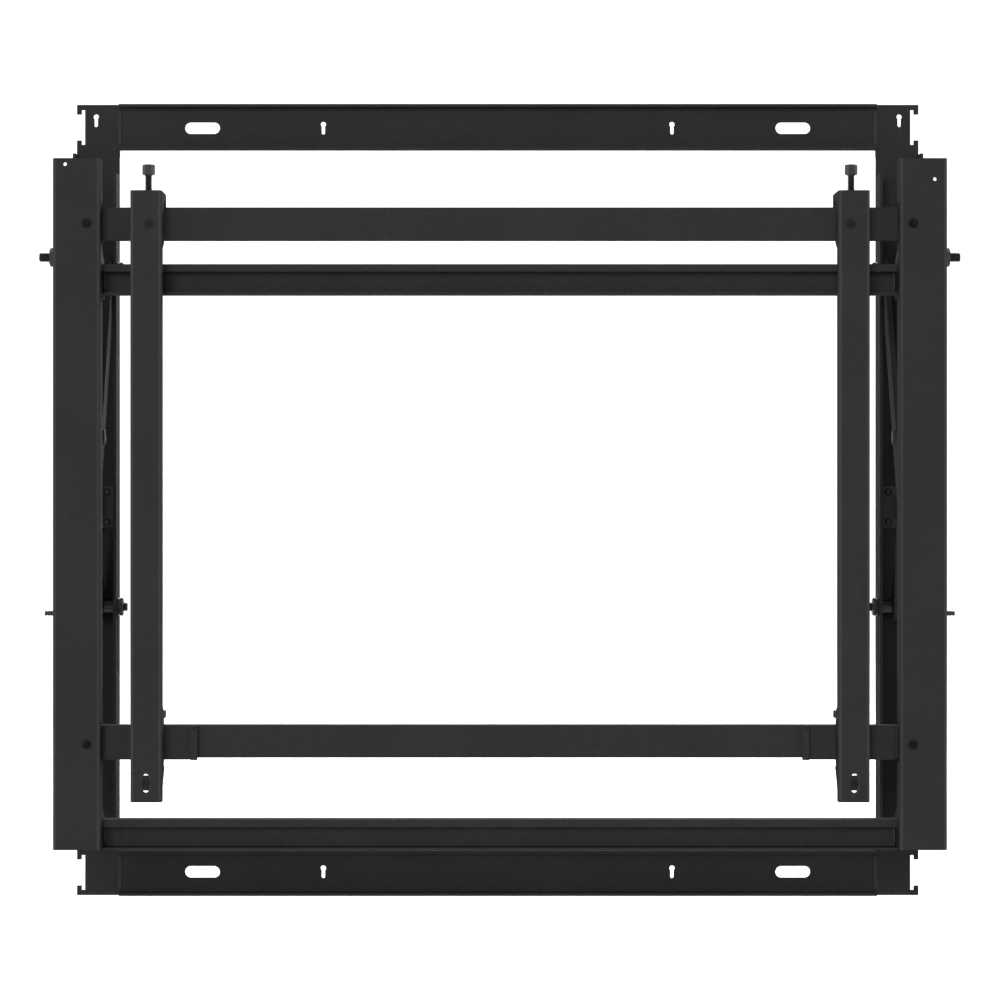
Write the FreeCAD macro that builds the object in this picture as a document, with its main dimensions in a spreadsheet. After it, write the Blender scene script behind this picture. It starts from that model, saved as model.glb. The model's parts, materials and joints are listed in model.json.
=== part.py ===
import FreeCAD, Part
import os
import re
import Sketcher
from FreeCAD import Rotation, Vector

# Pop-out video wall mount, shown pulled out from the wall.
# +X is to the right, +Y goes into the wall, +Z is up.
# The origin is the centre of the wall frame, on the wall's surface. Sizes are in millimetres.

doc = FreeCAD.newDocument("VideoWallMount")
sheet = doc.addObject("Spreadsheet::Sheet", "Sizes")

SIZES = {
    # Wall frame
    "frame_height": 680.0,
    "frame_width": 724.0,
    "upright_width": 37.0,
    "sheet": 2.5,
    "bend_radius": 3.0,
    "rail_inset": 0.5,
    "rail_height": 39.0,
    "rail_depth": 15.0,
    "upright_depth": 37.0,
    "outer_flange_inset": 44.9,
    "inner_flange_inset": 61.0,
    "wall_slot_spacing": 508.0,
    "wall_slot_length": 30.0,
    "wall_slot_width": 10.0,
    "keyhole_spacing": 300.0,
    "keyhole_width": 3.0,
    "keyhole_length": 11.0,
    "keyhole_head": 4.6,
    "corner_keyhole_inset": 16.5,
    "corner_keyhole_drop": 13.6,
    "notch_depth": 7.0,
    "notch_lip": 4.0,
    "notch_height": 30.0,
    "notch_mouth": 22.4,
    "notch_centre_drop": 19.4,
    "overrun": 1.0,
    # Scissor arms and their pivots
    "arm_length": 340.0,
    "arm_width": 25.0,
    "arm_sheet": 4.5,
    "open_angle": 32.5,
    "closed_angle": 6.84,
    "pivot_drop": 144.5,
    "wall_pivot_depth": 25.0,
    "front_pivot_depth": 21.5,
    "arm_clearance": 0.9,
    "arm_gap": 4.4,
    "pivot_diameter": 8.0,
    "running_clearance": 0.05,
    "axial_clearance": 0.1,
    "slide_axial_clearance": 0.3,
    "slide_clearance": 0.4,
    "slide_margin": 1.5,
    "bolt_head_height": 3.8,
    "bolt_head_flats": 13.0,
    "nut_flats": 13.0,
    "thin_nut_height": 3.9,
    "nut_height": 4.5,
    "wall_bolt_tip": 3.3,
    "front_bolt_tip": 8.3,
    "washer_sheet": 1.4,
    "washer_diameter": 15.0,
    "spacer_diameter": 12.6,
    "rivet_head_diameter": 13.0,
    "rivet_head_height": 2.0,
    "pin_tail_diameter": 3.8,
    "pin_tail_length": 8.8,
    # Front frame
    "member_nest_gap": 2.5,
    "member_side_gap": 1.5,
    "member_top_inset": 66.4,
    "member_bottom_inset": 59.8,
    "member_inner_depth": 20.0,
    "member_outer_depth": 38.0,
    "tool_hole_diameter": 3.0,
    "tool_hole_inset": 10.0,
    "left_tool_hole_drop": 4.8,
    "right_tool_hole_drop": 16.8,
    "cross_rail_height": 24.6,
    "cross_rail_depth": 18.0,
    "cross_rail_sheet": 2.0,
    "cross_rail_lip": 6.0,
    "upper_cross_rail_drop": 83.6,
    "lower_cross_rail_overhang": 1.8,
    "ear_margin": 3.0,
    "ear_top_margin": 1.5,
    "ear_slope_rise": 9.0,
    # Hang rails and their depth screws
    "hang_rail_height": 26.2,
    "hang_rail_depth": 15.0,
    "hang_rail_sheet": 2.0,
    "hang_rail_setback": 20.7,
    "hang_rail_overhang": 14.5,
    "upper_hang_rail_drop": 51.0,
    "lower_hang_rail_rise": 85.7,
    "hang_rail_window_margin": 3.0,
    "depth_travel": 8.0,
    "depth_screw_inset": 10.5,
    "depth_screw_diameter": 8.0,
    "depth_screw_length": 44.0,
    "depth_screw_recess": 0.4,
    "depth_screw_collar": 13.0,
    "depth_screw_collar_sheet": 2.5,
    "depth_screw_socket": 5.0,
    "depth_screw_socket_depth": 4.0,
    "depth_screw_drop": 1.2,
    # Stops at the ends of the lower hang rail
    "stop_sheet": 1.5,
    "stop_end_gap": 2.0,
    "stop_length": 75.0,
    "stop_strip_width": 5.6,
    "stop_strip_rise": 6.0,
    "stop_lip_depth": 12.0,
    "stop_hole_diameter": 2.0,
    "stop_hole_drop": 2.2,
    # Display brackets
    "bracket_inset": 37.3,
    "bracket_width": 25.0,
    "bracket_lead": 9.0,
    "bracket_flange_depth": 15.0,
    "bracket_head_gap": 5.9,
    "bracket_foot": 33.7,
    "height_travel": 5.0,
    "hook_gap": 0.5,
    "hook_sleeve_gap": 0.6,
    "hook_bar": 5.6,
    "hook_tail": 3.5,
    "hook_tail_drop": 6.5,
    "hook_toe": 3.0,
    "hook_taper": 5.0,
    "lower_hook_reach": 20.0,
    "lower_toe_reach": 5.5,
    "lower_toe_taper": 16.0,
    # Hangers inside the brackets, and their screws
    "nest_clearance": 0.3,
    "hanger_sheet": 2.0,
    "hanger_bar": 3.2,
    "hanger_rest_gap": 0.3,
    "hanger_window_width": 8.6,
    "lower_hanger_head": 9.4,
    "lock_strap_height": 12.2,
    "lower_hanger_arm": 14.0,
    "lower_hanger_toe": 9.0,
    "lower_hanger_toe_sheet": 3.4,
    "height_screw_diameter": 5.9,
    "height_screw_setback": 20.2,
    "height_screw_offset": 0.7,
    "height_screw_shank": 21.6,
    "height_screw_head": 8.4,
    "height_screw_flats": 8.8,
    "height_screw_socket": 5.0,
    "height_screw_socket_depth": 4.5,
    "guide_screw_diameter": 5.0,
    "guide_screw_drop": 2.3,
    "guide_screw_length": 9.4,
    "guide_screw_head": 9.0,
    "guide_screw_sink": 0.1,
    "guide_screw_socket": 3.0,
    "guide_screw_socket_depth": 1.8,
    "guide_nut_flats": 8.0,
    "guide_nut_height": 3.6,
    "guide_nut_gap": 0.38,
    "lock_screw_diameter": 4.0,
    "lock_screw_drop": 18.4,
    "lock_screw_head": 7.0,
    "lock_screw_sink": 0.2,
    "lock_screw_length": 7.2,
    "lock_screw_socket": 2.5,
    "lock_screw_socket_depth": 2.0,
    "lock_slot_width": 4.6,
    "lock_slot_length": 14.8,
    "lock_head_clearance": 0.2,
    # Push latches
    "latch_height": -6.0,
    "latch_inset": 12.5,
    "latch_plate_gap": 0.5,
    "latch_plate_height": 36.0,
    "latch_plate_sheet": 2.0,
    "latch_body_width": 11.0,
    "latch_body_height": 28.0,
    "latch_body_depth": 41.5,
    "latch_bore_depth": 26.0,
    "latch_plunger_diameter": 6.0,
    "latch_plunger_length": 31.0,
    "latch_plunger_cap": 8.0,
    "latch_plunger_cap_height": 2.0,
    "latch_travel": 5.0,
    "striker_width": 9.0,
    "striker_height": 16.0,
    "striker_gap": 0.5,
}

# Places that several pieces share, worked out from the sizes above
PLACES = {
    "half_height": "frame_height/2",
    "half_width": "frame_width/2",
    "rail_end": "half_height-rail_inset",
    "rail_centre": "rail_end-rail_height/2",
    "inner_edge": "half_width-upright_width",
    "outer_flange_end": "half_height-outer_flange_inset",
    "inner_flange_end": "half_height-inner_flange_inset",
    "pivot_height": "half_height-pivot_drop",
    "arm_reach": "arm_length*sin(open_angle*1deg)",
    "closed_reach": "arm_length*sin(closed_angle*1deg)",
    "wall_pivot_y": "-wall_pivot_depth",
    "front_pivot_y": "-(wall_pivot_depth+arm_reach)",
    "centre_pivot_y": "-(wall_pivot_depth+arm_reach/2)",
    "centre_pivot_z": "pivot_height-arm_length*cos(open_angle*1deg)/2",
    "slide_open": "pivot_height-arm_length*cos(open_angle*1deg)",
    "slide_closed": "pivot_height-arm_length*cos(closed_angle*1deg)",
    "slide_middle": "(slide_open+slide_closed)/2",
    "slide_width": "pivot_diameter+2*slide_clearance",
    "slide_length": "slide_open-slide_closed+slide_width+2*slide_margin",
    "pivot_hole": "pivot_diameter/2+running_clearance",
    "flange_outside": "inner_edge+sheet",
    "wall_arm_x": "flange_outside+arm_clearance",
    "front_arm_x": "wall_arm_x+arm_sheet+arm_gap",
    "member_outer": "half_width-sheet-member_side_gap",
    "member_inner": "inner_edge-sheet-member_nest_gap",
    "face_y": "front_pivot_y-front_pivot_depth",
    "web_back_y": "face_y+sheet",
    "ear_back_y": "face_y+member_inner_depth+cross_rail_depth",
    "member_top": "half_height-member_top_inset",
    "member_bottom": "half_height-member_bottom_inset",
    "upper_cross_rail_top": "member_top-upper_cross_rail_drop",
    "lower_cross_rail_top": "cross_rail_height-member_bottom-lower_cross_rail_overhang",
    "upper_hang_rail_height": "member_top-upper_hang_rail_drop",
    "lower_hang_rail_height": "lower_hang_rail_rise-member_bottom",
    "rail_front_y": "face_y+hang_rail_setback",
    "rail_back_y": "rail_front_y+hang_rail_depth",
    "upper_rail_top": "upper_hang_rail_height+hang_rail_height/2",
    "upper_rail_bottom": "upper_hang_rail_height-hang_rail_height/2",
    "lower_rail_top": "lower_hang_rail_height+hang_rail_height/2",
    "lower_rail_bottom": "lower_hang_rail_height-hang_rail_height/2",
    "depth_screw_x": "member_inner+depth_screw_inset",
    "hang_rail_end": "depth_screw_x+hang_rail_overhang",
    "depth_screw_end_y": "face_y+depth_screw_recess",
    "stop_end": "member_inner-stop_end_gap",
    "stop_start": "stop_end-stop_length",
    "bracket_x": "member_inner-bracket_inset",
    "bracket_top": "upper_rail_top+bracket_head_gap+hook_bar",
    "bracket_bottom": "lower_rail_bottom-bracket_foot",
    "bracket_y": "face_y-bracket_lead",
    "bracket_back_y": "bracket_y+bracket_flange_depth",
    "hook_front_y": "rail_front_y-stop_sheet-hook_sleeve_gap",
    "hook_back_y": "rail_back_y+hook_gap",
    "hook_end_y": "hook_back_y+hook_tail",
    "hook_play": "height_travel+hook_gap",
    "hanger_y": "bracket_y+sheet+nest_clearance",
    "hanger_back_y": "hanger_y+hanger_sheet",
    "hanger_width": "bracket_width-2*sheet-2*nest_clearance",
    "hanger_rail_y": "rail_front_y-hook_gap",
    "hanger_seat": "upper_rail_top+hanger_rest_gap",
    "hanger_top": "hanger_seat+hanger_bar",
    "lower_hanger_top": "lower_rail_top+lower_hanger_head",
    "height_screw_x": "bracket_x-height_screw_offset",
    "height_screw_y": "bracket_y+height_screw_setback",
    "height_screw_z": "hanger_top+axial_clearance+height_screw_shank",
    "guide_nut_reach": "guide_nut_flats/(2*cos(30deg))+guide_nut_gap",
    "guide_screw_x": "bracket_x-(hanger_width/2-hanger_sheet-guide_nut_reach)",
    "guide_screw_height": "upper_hang_rail_height-guide_screw_drop",
    "lock_screw_height": "lower_rail_bottom-lock_screw_drop",
    "lower_hanger_bottom": "lock_screw_height-lock_strap_height/2",
    "lock_slot_flare": "lock_screw_head/2+lock_screw_sink+lock_head_clearance-lock_slot_width/2",
    "latch_centre": "half_width-latch_inset",
    "latch_plate_y": "-sheet-latch_plate_sheet",
    "latch_body_y": "latch_plate_y-latch_body_depth",
    "latch_seat_y": "latch_body_y+latch_bore_depth-latch_travel-axial_clearance",
    "latch_tip_y": "latch_seat_y-latch_plunger_length-latch_plunger_cap_height",
    "closed_web_y": "-(wall_pivot_depth+closed_reach+front_pivot_depth)+sheet",
    "striker_length": "latch_tip_y-striker_gap-closed_web_y",
}

NAME = re.compile(r"[a-z]\w*")
MATCH = 1e-4
SIDES = {"left": -1, "right": 1}
nodes = []


def fill_sheet():
    for row, (alias, size) in enumerate(SIZES.items(), start=1):
        sheet.set(f"A{row}", alias.replace("_", " "))
        sheet.set(f"B{row}", str(size))
        sheet.setAlias(f"B{row}", alias)
    doc.recompute()


def bound(text):
    """An expression on the sheet, from names of sizes and places."""
    def swap(match):
        word = match.group()
        if word in PLACES:
            return f"({bound(PLACES[word])})"
        return f"Sizes.{word}" if word in SIZES else word
    return NAME.sub(swap, text)


def number(text):
    return float(sheet.evalExpression(bound(text)))


def bind(item, prop, text):
    item.setExpression(prop, bound(text))


# Sketched sheet-metal pieces

PLANE_AXIS = {"YZ": 0, "XZ": 1, "XY": 2}
NORMAL_SIGN = {"YZ": 1, "XZ": -1, "XY": 1}


def new_body(label):
    body = doc.addObject("PartDesign::Body", label)
    body.Label = label
    nodes.append(body)
    return body


def new_sketch(body, plane, at):
    """A sketch parallel to one of the body's own planes, at the given distance along its axis."""
    sketch = body.newObject("Sketcher::SketchObject", f"{body.Label}_sketch")
    role = f"{plane}_Plane"
    origin_plane = next(item for item in body.Origin.OriginFeatures if item.Role == role)
    sketch.AttachmentSupport = [(origin_plane, "")]
    sketch.MapMode = "FlatFace"
    bind(sketch, "AttachmentOffset.Base.z", f"{NORMAL_SIGN[plane]}*({at})")
    return sketch


def fix_point(sketch, geometry, point, u, v):
    """Tie a point's two coordinates to the sheet."""
    for kind, text in (("DistanceX", u), ("DistanceY", v)):
        constraint = Sketcher.Constraint(kind, -1, 1, geometry, point, number(text))
        index = sketch.addConstraint(constraint)
        bind(sketch, f"Constraints[{index}]", text)


def polygon(*corners):
    """A closed outline through corners given as pairs of expressions."""
    def draw(sketch):
        first = sketch.GeometryCount
        points = [Vector(number(u), number(v), 0) for u, v in corners]
        count = len(points)
        for index, point in enumerate(points):
            sketch.addGeometry(Part.LineSegment(point, points[(index + 1) % count]), False)
        for index, (u, v) in enumerate(corners):
            following = first + (index + 1) % count
            sketch.addConstraint(Sketcher.Constraint("Coincident", first + index, 2, following, 1))
            fix_point(sketch, first + index, 1, u, v)
    return draw


def rectangle(u_low, u_high, v_low, v_high):
    return polygon((u_low, v_low), (u_high, v_low), (u_high, v_high), (u_low, v_high))


def circle(u, v, radius):
    def draw(sketch):
        centre = Vector(number(u), number(v), 0)
        ring = Part.Circle(centre, Vector(0, 0, 1), number(radius))
        geometry = sketch.addGeometry(ring, False)
        fix_point(sketch, geometry, 3, u, v)
        index = sketch.addConstraint(Sketcher.Constraint("Radius", geometry, number(radius)))
        bind(sketch, f"Constraints[{index}]", radius)
    return draw


def slot(u, v, length, width, upright=True):
    """A slot with round ends, centred on a point and running along u or v."""
    def draw(sketch):
        half = f"({length}-({width}))/2"
        radius = f"({width})/2"
        if upright:
            ends = ((u, f"{v}-{half}"), (u, f"{v}+{half}"))
            turn = 0.0
        else:
            ends = ((f"{u}+{half}", v), (f"{u}-{half}", v))
            turn = 90.0
        arcs = []
        for (end_u, end_v), start in zip(ends, (180.0 + turn, 0.0 + turn)):
            centre = Vector(number(end_u), number(end_v), 0)
            ring = Part.Circle(centre, Vector(0, 0, 1), number(radius))
            first = FreeCAD.Units.Quantity(f"{start} deg").getValueAs("rad").Value
            last = FreeCAD.Units.Quantity(f"{start + 180.0} deg").getValueAs("rad").Value
            arcs.append(sketch.addGeometry(Part.ArcOfCircle(ring, first, last), False))
        one, other = (sketch.Geometry[index] for index in arcs)
        sides = [
            sketch.addGeometry(Part.LineSegment(one.EndPoint, other.StartPoint), False),
            sketch.addGeometry(Part.LineSegment(other.EndPoint, one.StartPoint), False),
        ]
        loop = [arcs[0], sides[0], arcs[1], sides[1]]
        for index, geometry in enumerate(loop):
            following = loop[(index + 1) % len(loop)]
            sketch.addConstraint(Sketcher.Constraint("Tangent", geometry, 2, following, 1))
        sketch.addConstraint(Sketcher.Constraint("Equal", arcs[0], arcs[1]))
        for geometry, (end_u, end_v) in zip(arcs, ends):
            fix_point(sketch, geometry, 3, end_u, end_v)
        index = sketch.addConstraint(Sketcher.Constraint("Radius", arcs[0], number(radius)))
        bind(sketch, f"Constraints[{index}]", radius)
    return draw


def draw_all(body, plane, start, outlines):
    sketch = new_sketch(body, plane, start)
    for outline in outlines:
        outline(sketch)
    doc.recompute()
    return sketch


def add(body, plane, start, end, *outlines):
    """Pad outlines from one distance along the plane's axis to another."""
    sketch = draw_all(body, plane, start, outlines)
    feature = body.newObject("PartDesign::Pad", f"{body.Label}_pad")
    feature.Profile = sketch
    bind(feature, "Length", f"abs({end}-({start}))")
    feature.Reversed = (number(end) - number(start)) * NORMAL_SIGN[plane] < 0
    doc.recompute()
    return feature


def cut(body, plane, start, end, *outlines):
    """Pocket outlines from one distance along the plane's axis to another."""
    before = body.Shape.Volume
    sketch = draw_all(body, plane, start, outlines)
    feature = body.newObject("PartDesign::Pocket", f"{body.Label}_pocket")
    feature.Profile = sketch
    bind(feature, "Length", f"abs({end}-({start}))")
    feature.Reversed = (number(end) - number(start)) * NORMAL_SIGN[plane] > 0
    doc.recompute()
    if body.Shape.Volume >= before:
        raise RuntimeError(f"a pocket in {body.Label} cuts nothing")
    return feature


def bend(body, axis, *corners):
    """Round the outside of folds: the straight edges along an axis through the given corners."""
    others = [index for index in range(3) if index != axis]
    wanted = [tuple(number(text) for text in corner) for corner in corners]
    picked = []
    for index, edge in enumerate(body.Shape.Edges, start=1):
        ends = [vertex.Point for vertex in edge.Vertexes]
        if len(ends) != 2 or abs((ends[1] - ends[0])[axis]) < edge.Length - MATCH:
            continue
        place = tuple(ends[0][other] for other in others)
        if any(max(abs(a - b) for a, b in zip(place, corner)) < MATCH for corner in wanted):
            picked.append(f"Edge{index}")
    if len(picked) < len(corners):
        raise RuntimeError(f"a fold of {body.Label} wasn't found")
    base = body.Tip
    feature = body.newObject("PartDesign::Fillet", f"{body.Label}_bend")
    feature.Base = (base, picked)
    bind(feature, "Radius", "bend_radius")
    doc.recompute()
    return feature


def countersink(body, x, z, reach, size):
    """Chamfer the front edges of a hole or slot, which lie within reach of its centre."""
    centre = Vector(number(x), number("bracket_y"), number(z))
    picked = []
    for index, edge in enumerate(body.Shape.Edges, start=1):
        flat = all(abs(vertex.Y - centre.y) < MATCH for vertex in edge.Vertexes)
        if flat and (edge.CenterOfMass - centre).Length < number(reach):
            picked.append(f"Edge{index}")
    base = body.Tip
    feature = body.newObject("PartDesign::Chamfer", f"{body.Label}_countersink")
    feature.Base = (base, picked)
    bind(feature, "Size", size)
    doc.recompute()
    return feature


def mirrored(side, *corners):
    """Outline corners with their first coordinate turned to one side of the mount."""
    return [(f"{side}*({u})", v) for u, v in corners]


def low_side(side, inner, thickness):
    """The lower X of a piece that starts at a distance from the middle and has a thickness."""
    return inner if side > 0 else f"-({inner}+{thickness})"


# Turned and six-sided pieces, made along local Z

def cylinder(label, radius, height, start="0"):
    item = doc.addObject("Part::Cylinder", label)
    bind(item, "Radius", radius)
    bind(item, "Height", height)
    bind(item, "Placement.Base.z", start)
    return item


def hexagon(label, flats, height, start="0"):
    item = doc.addObject("Part::Prism", label)
    bind(item, "Circumradius", f"{flats}/(2*cos(30deg))")
    bind(item, "Height", height)
    bind(item, "Placement.Base.z", start)
    return item


def fuse(label, *items):
    item = doc.addObject("Part::MultiFuse", label)
    item.Shapes = list(items)
    return item


def subtract(label, base, tool):
    item = doc.addObject("Part::Cut", label)
    item.Base = base
    item.Tool = tool
    return item


def ring(label, outer, hole, height):
    """A washer or spacer with its first face at local zero."""
    body = cylinder(f"{label}_body", outer, height)
    bore = cylinder(f"{label}_bore", hole, f"{height}+2*overrun", "-overrun")
    return subtract(label, body, bore)


def nut(label, flats, hole, height):
    body = hexagon(f"{label}_body", flats, height)
    bore = cylinder(f"{label}_bore", hole, f"{height}+2*overrun", "-overrun")
    return subtract(label, body, bore)


def hex_bolt(label, diameter, length, flats, head):
    """The head lies below local zero and the shank runs up from it."""
    shank = cylinder(f"{label}_shank", f"{diameter}/2", f"{length}+overrun", "-overrun")
    return fuse(label, hexagon(f"{label}_head", flats, head, f"-({head})"), shank)


def flat_screw(label, diameter, length, head, key, key_depth):
    """A countersunk screw with its flat face at local zero and its point above it."""
    shank = cylinder(f"{label}_shank", f"{diameter}/2", length)
    cone = doc.addObject("Part::Cone", f"{label}_cone")
    bind(cone, "Radius1", f"{head}/2")
    bind(cone, "Radius2", f"{diameter}/2")
    bind(cone, "Height", f"({head}-{diameter})/2")
    socket = hexagon(f"{label}_socket", key, f"{key_depth}+overrun", "-overrun")
    return subtract(label, fuse(f"{label}_solid", cone, shank), socket)


def place(item, x, y, z, axis=None, angle=0.0):
    if axis is not None:
        item.Placement = FreeCAD.Placement(Vector(), Rotation(axis, angle))
    for name, text in zip("xyz", (x, y, z)):
        bind(item, f"Placement.Base.{name}", text)
    return item


def place_outward(item, side, x, y, z):
    """Turn a piece's local Z away from the middle of the mount."""
    return place(item, f"{side}*({x})", y, z, Vector(0, 1, 0), 90.0 * side)


def place_inward(item, side, x, y, z):
    return place(item, f"{side}*({x})", y, z, Vector(0, 1, 0), -90.0 * side)


def place_backward(item, x, y, z):
    """Turn a piece's local Z towards the wall."""
    return place(item, x, y, z, Vector(1, 0, 0), -90.0)


def keep(item, label):
    item.Label = label
    nodes.append(item)
    return item


def keep_pair(label, make):
    """The left and right copy of the same fastener, as separate solids of one node."""
    pair = doc.addObject("Part::Compound", label)
    pair.Links = [make(f"{name}_{label}", side) for name, side in SIDES.items()]
    return keep(pair, label)


# Wall frame

def wall_rail(label, end):
    """A C section across the wall with two fixing slots and two keyholes."""
    outer = f"{end}*rail_end"
    inner = f"{end}*(rail_end-rail_height)"
    body = new_body(label)
    profile = polygon(
        ("0", outer),
        ("-rail_depth", outer),
        ("-rail_depth", f"{outer}-{end}*sheet"),
        ("-sheet", f"{outer}-{end}*sheet"),
        ("-sheet", f"{inner}+{end}*sheet"),
        ("-rail_depth", f"{inner}+{end}*sheet"),
        ("-rail_depth", inner),
        ("0", inner),
    )
    add(body, "YZ", "-inner_edge", "inner_edge", profile)
    bend(body, 0, ("0", outer), ("0", inner))
    middle = f"{end}*rail_centre"
    slots = [slot(f"{side}*wall_slot_spacing/2", middle, "wall_slot_length",
                  "wall_slot_width", upright=False) for side in SIDES.values()]
    stems = [slot(f"{side}*keyhole_spacing/2", middle, "keyhole_length", "keyhole_width")
             for side in SIDES.values()]
    cut(body, "XZ", "overrun", "-sheet-overrun", *slots, *stems)
    head_height = f"{middle}+(keyhole_length-keyhole_head)/2"
    heads = [circle(f"{side}*keyhole_spacing/2", head_height, "keyhole_head/2")
             for side in SIDES.values()]
    cut(body, "XZ", "overrun", "-sheet-overrun", *heads)


def corner_outline(side, end):
    """The flat end of an upright, with the notch that takes a joining key to the next mount."""
    wall = "half_width-notch_depth"
    lip = "half_width-notch_lip"
    middle = "half_height-notch_centre_drop"
    root = "outer_flange_end"
    corners = mirrored(
        side,
        ("inner_edge", f"{end}*({root})"),
        ("half_width", f"{end}*({root})"),
        ("half_width", f"{end}*({middle}-notch_mouth/2)"),
        (lip, f"{end}*({middle}-notch_mouth/2)"),
        (lip, f"{end}*({middle}-notch_height/2)"),
        (wall, f"{end}*({middle}-notch_height/2)"),
        (wall, f"{end}*({middle}+notch_height/2)"),
        (lip, f"{end}*({middle}+notch_height/2)"),
        (lip, f"{end}*({middle}+notch_mouth/2)"),
        ("half_width", f"{end}*({middle}+notch_mouth/2)"),
        ("half_width", f"{end}*half_height"),
        ("inner_edge", f"{end}*half_height"),
    )
    return polygon(*corners)


def upright(label, side):
    """An open channel on the wall; its inner flange carries the arms."""
    body = new_body(label)
    profile = polygon(*mirrored(
        side,
        ("inner_edge", "0"),
        ("inner_edge", "-upright_depth"),
        ("flange_outside", "-upright_depth"),
        ("flange_outside", "-sheet"),
        ("half_width-sheet", "-sheet"),
        ("half_width-sheet", "-upright_depth"),
        ("half_width", "-upright_depth"),
        ("half_width", "0"),
    ))
    add(body, "XY", "-outer_flange_end", "outer_flange_end", profile)
    bend(body, 2, (f"{side}*inner_edge", "0"), (f"{side}*half_width", "0"))
    through = (f"{side}*(inner_edge-overrun)", f"{side}*(flange_outside+overrun)")
    for end in (-1, 1):
        shortened = rectangle("-upright_depth-overrun", "-sheet", f"{end}*inner_flange_end",
                              f"{end}*(outer_flange_end+overrun)")
        cut(body, "YZ", *through, shortened)
        add(body, "XZ", "0", "-sheet", corner_outline(side, end))
    pivot = circle("wall_pivot_y", "pivot_height", "pivot_hole")
    slide = slot("wall_pivot_y", "slide_middle", "slide_length", "slide_width")
    cut(body, "YZ", *through, pivot, slide)
    keyhole_x = f"{side}*(half_width-corner_keyhole_inset)"
    keyhole_z = "half_height-corner_keyhole_drop"
    stem = slot(keyhole_x, keyhole_z, "keyhole_length", "keyhole_width")
    cut(body, "XZ", "overrun", "-sheet-overrun", stem)
    head = circle(keyhole_x, f"{keyhole_z}+(keyhole_length-keyhole_head)/2", "keyhole_head/2")
    cut(body, "XZ", "overrun", "-sheet-overrun", head)


def wall_pivot_fasteners():
    """Bolt, washer and thin nut of each fixed pivot at the top of an upright."""
    head_x = "wall_arm_x+arm_sheet+axial_clearance"
    nut_x = "inner_edge-washer_sheet"
    length = f"{head_x}-({nut_x})+thin_nut_height+wall_bolt_tip"

    def bolt(label, side):
        item = hex_bolt(label, "pivot_diameter", length, "bolt_head_flats", "bolt_head_height")
        return place_inward(item, side, head_x, "wall_pivot_y", "pivot_height")

    def washer(label, side):
        item = ring(label, "washer_diameter/2", "pivot_hole", "washer_sheet")
        return place_inward(item, side, "inner_edge", "wall_pivot_y", "pivot_height")

    def thin_nut(label, side):
        item = nut(label, "nut_flats", "pivot_hole", "thin_nut_height")
        return place_inward(item, side, nut_x, "wall_pivot_y", "pivot_height")

    keep_pair("wall_pivot_bolts", bolt)
    keep_pair("wall_pivot_washers", washer)
    keep_pair("wall_pivot_nuts", thin_nut)


# Scissor arms

def arm(label, side, inner, pivot_y, lean):
    """A flat bar hung from its top pivot, leaning from upright by an angle about X."""
    body = new_body(label)
    bar = slot("0", "-arm_length/2", "arm_length+arm_width", "arm_width")
    holes = [circle("0", f"-arm_length*{share}", "pivot_hole") for share in (0, 0.5, 1)]
    add(body, "YZ", "0", "arm_sheet", bar, *holes)
    place(body, low_side(side, inner, "arm_sheet"), pivot_y, "pivot_height", Vector(1, 0, 0),
          lean * SIZES["open_angle"])
    bind(body, "Placement.Rotation.Angle", f"{lean}*open_angle")


def centre_pivot(name, side):
    """The rivet and the washer where the two arms cross."""
    first = "wall_arm_x-axial_clearance"
    last = "front_arm_x+arm_sheet+axial_clearance"
    label = f"{name}_centre_rivet"
    shank = cylinder(f"{label}_shank", "pivot_diameter/2", f"{last}-({first})")
    heads = [cylinder(f"{label}_inner_head", "rivet_head_diameter/2", "rivet_head_height",
                      "-rivet_head_height"),
             cylinder(f"{label}_outer_head", "rivet_head_diameter/2", "rivet_head_height",
                      f"{last}-({first})")]
    rivet = keep(fuse(label, shank, *heads), label)
    place_outward(rivet, side, first, "centre_pivot_y", "centre_pivot_z")
    label = f"{name}_centre_washer"
    washer = keep(ring(label, "washer_diameter/2", "pivot_hole", "arm_gap-2*axial_clearance"), label)
    washer_x = "wall_arm_x+arm_sheet+axial_clearance"
    place_outward(washer, side, washer_x, "centre_pivot_y", "centre_pivot_z")


def wall_slide(name, side):
    """The bolt at the lower end of the front arm, which runs in the upright's slot."""
    head_x = "front_arm_x+arm_sheet+axial_clearance"
    washer_x = "inner_edge-slide_axial_clearance"
    nut_x = f"{washer_x}-washer_sheet"
    nut_height = "thin_nut_height-slide_axial_clearance"
    length = f"{head_x}-({nut_x})+{nut_height}+wall_bolt_tip"
    label = f"{name}_wall_slide_bolt"
    bolt = hex_bolt(label, "pivot_diameter", length, "bolt_head_flats", "bolt_head_height")
    place_inward(keep(bolt, label), side, head_x, "wall_pivot_y", "slide_open")
    label = f"{name}_wall_slide_spacer"
    spacer_start = "flange_outside+slide_axial_clearance"
    spacer_length = f"front_arm_x-axial_clearance-({spacer_start})"
    spacer = ring(label, "spacer_diameter/2", "pivot_hole", spacer_length)
    place_outward(keep(spacer, label), side, spacer_start, "wall_pivot_y", "slide_open")
    label = f"{name}_wall_slide_washer"
    washer = ring(label, "washer_diameter/2", "pivot_hole", "washer_sheet")
    place_inward(keep(washer, label), side, washer_x, "wall_pivot_y", "slide_open")
    label = f"{name}_wall_slide_nut"
    thin_nut = nut(label, "nut_flats", "pivot_hole", nut_height)
    place_inward(keep(thin_nut, label), side, nut_x, "wall_pivot_y", "slide_open")


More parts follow.
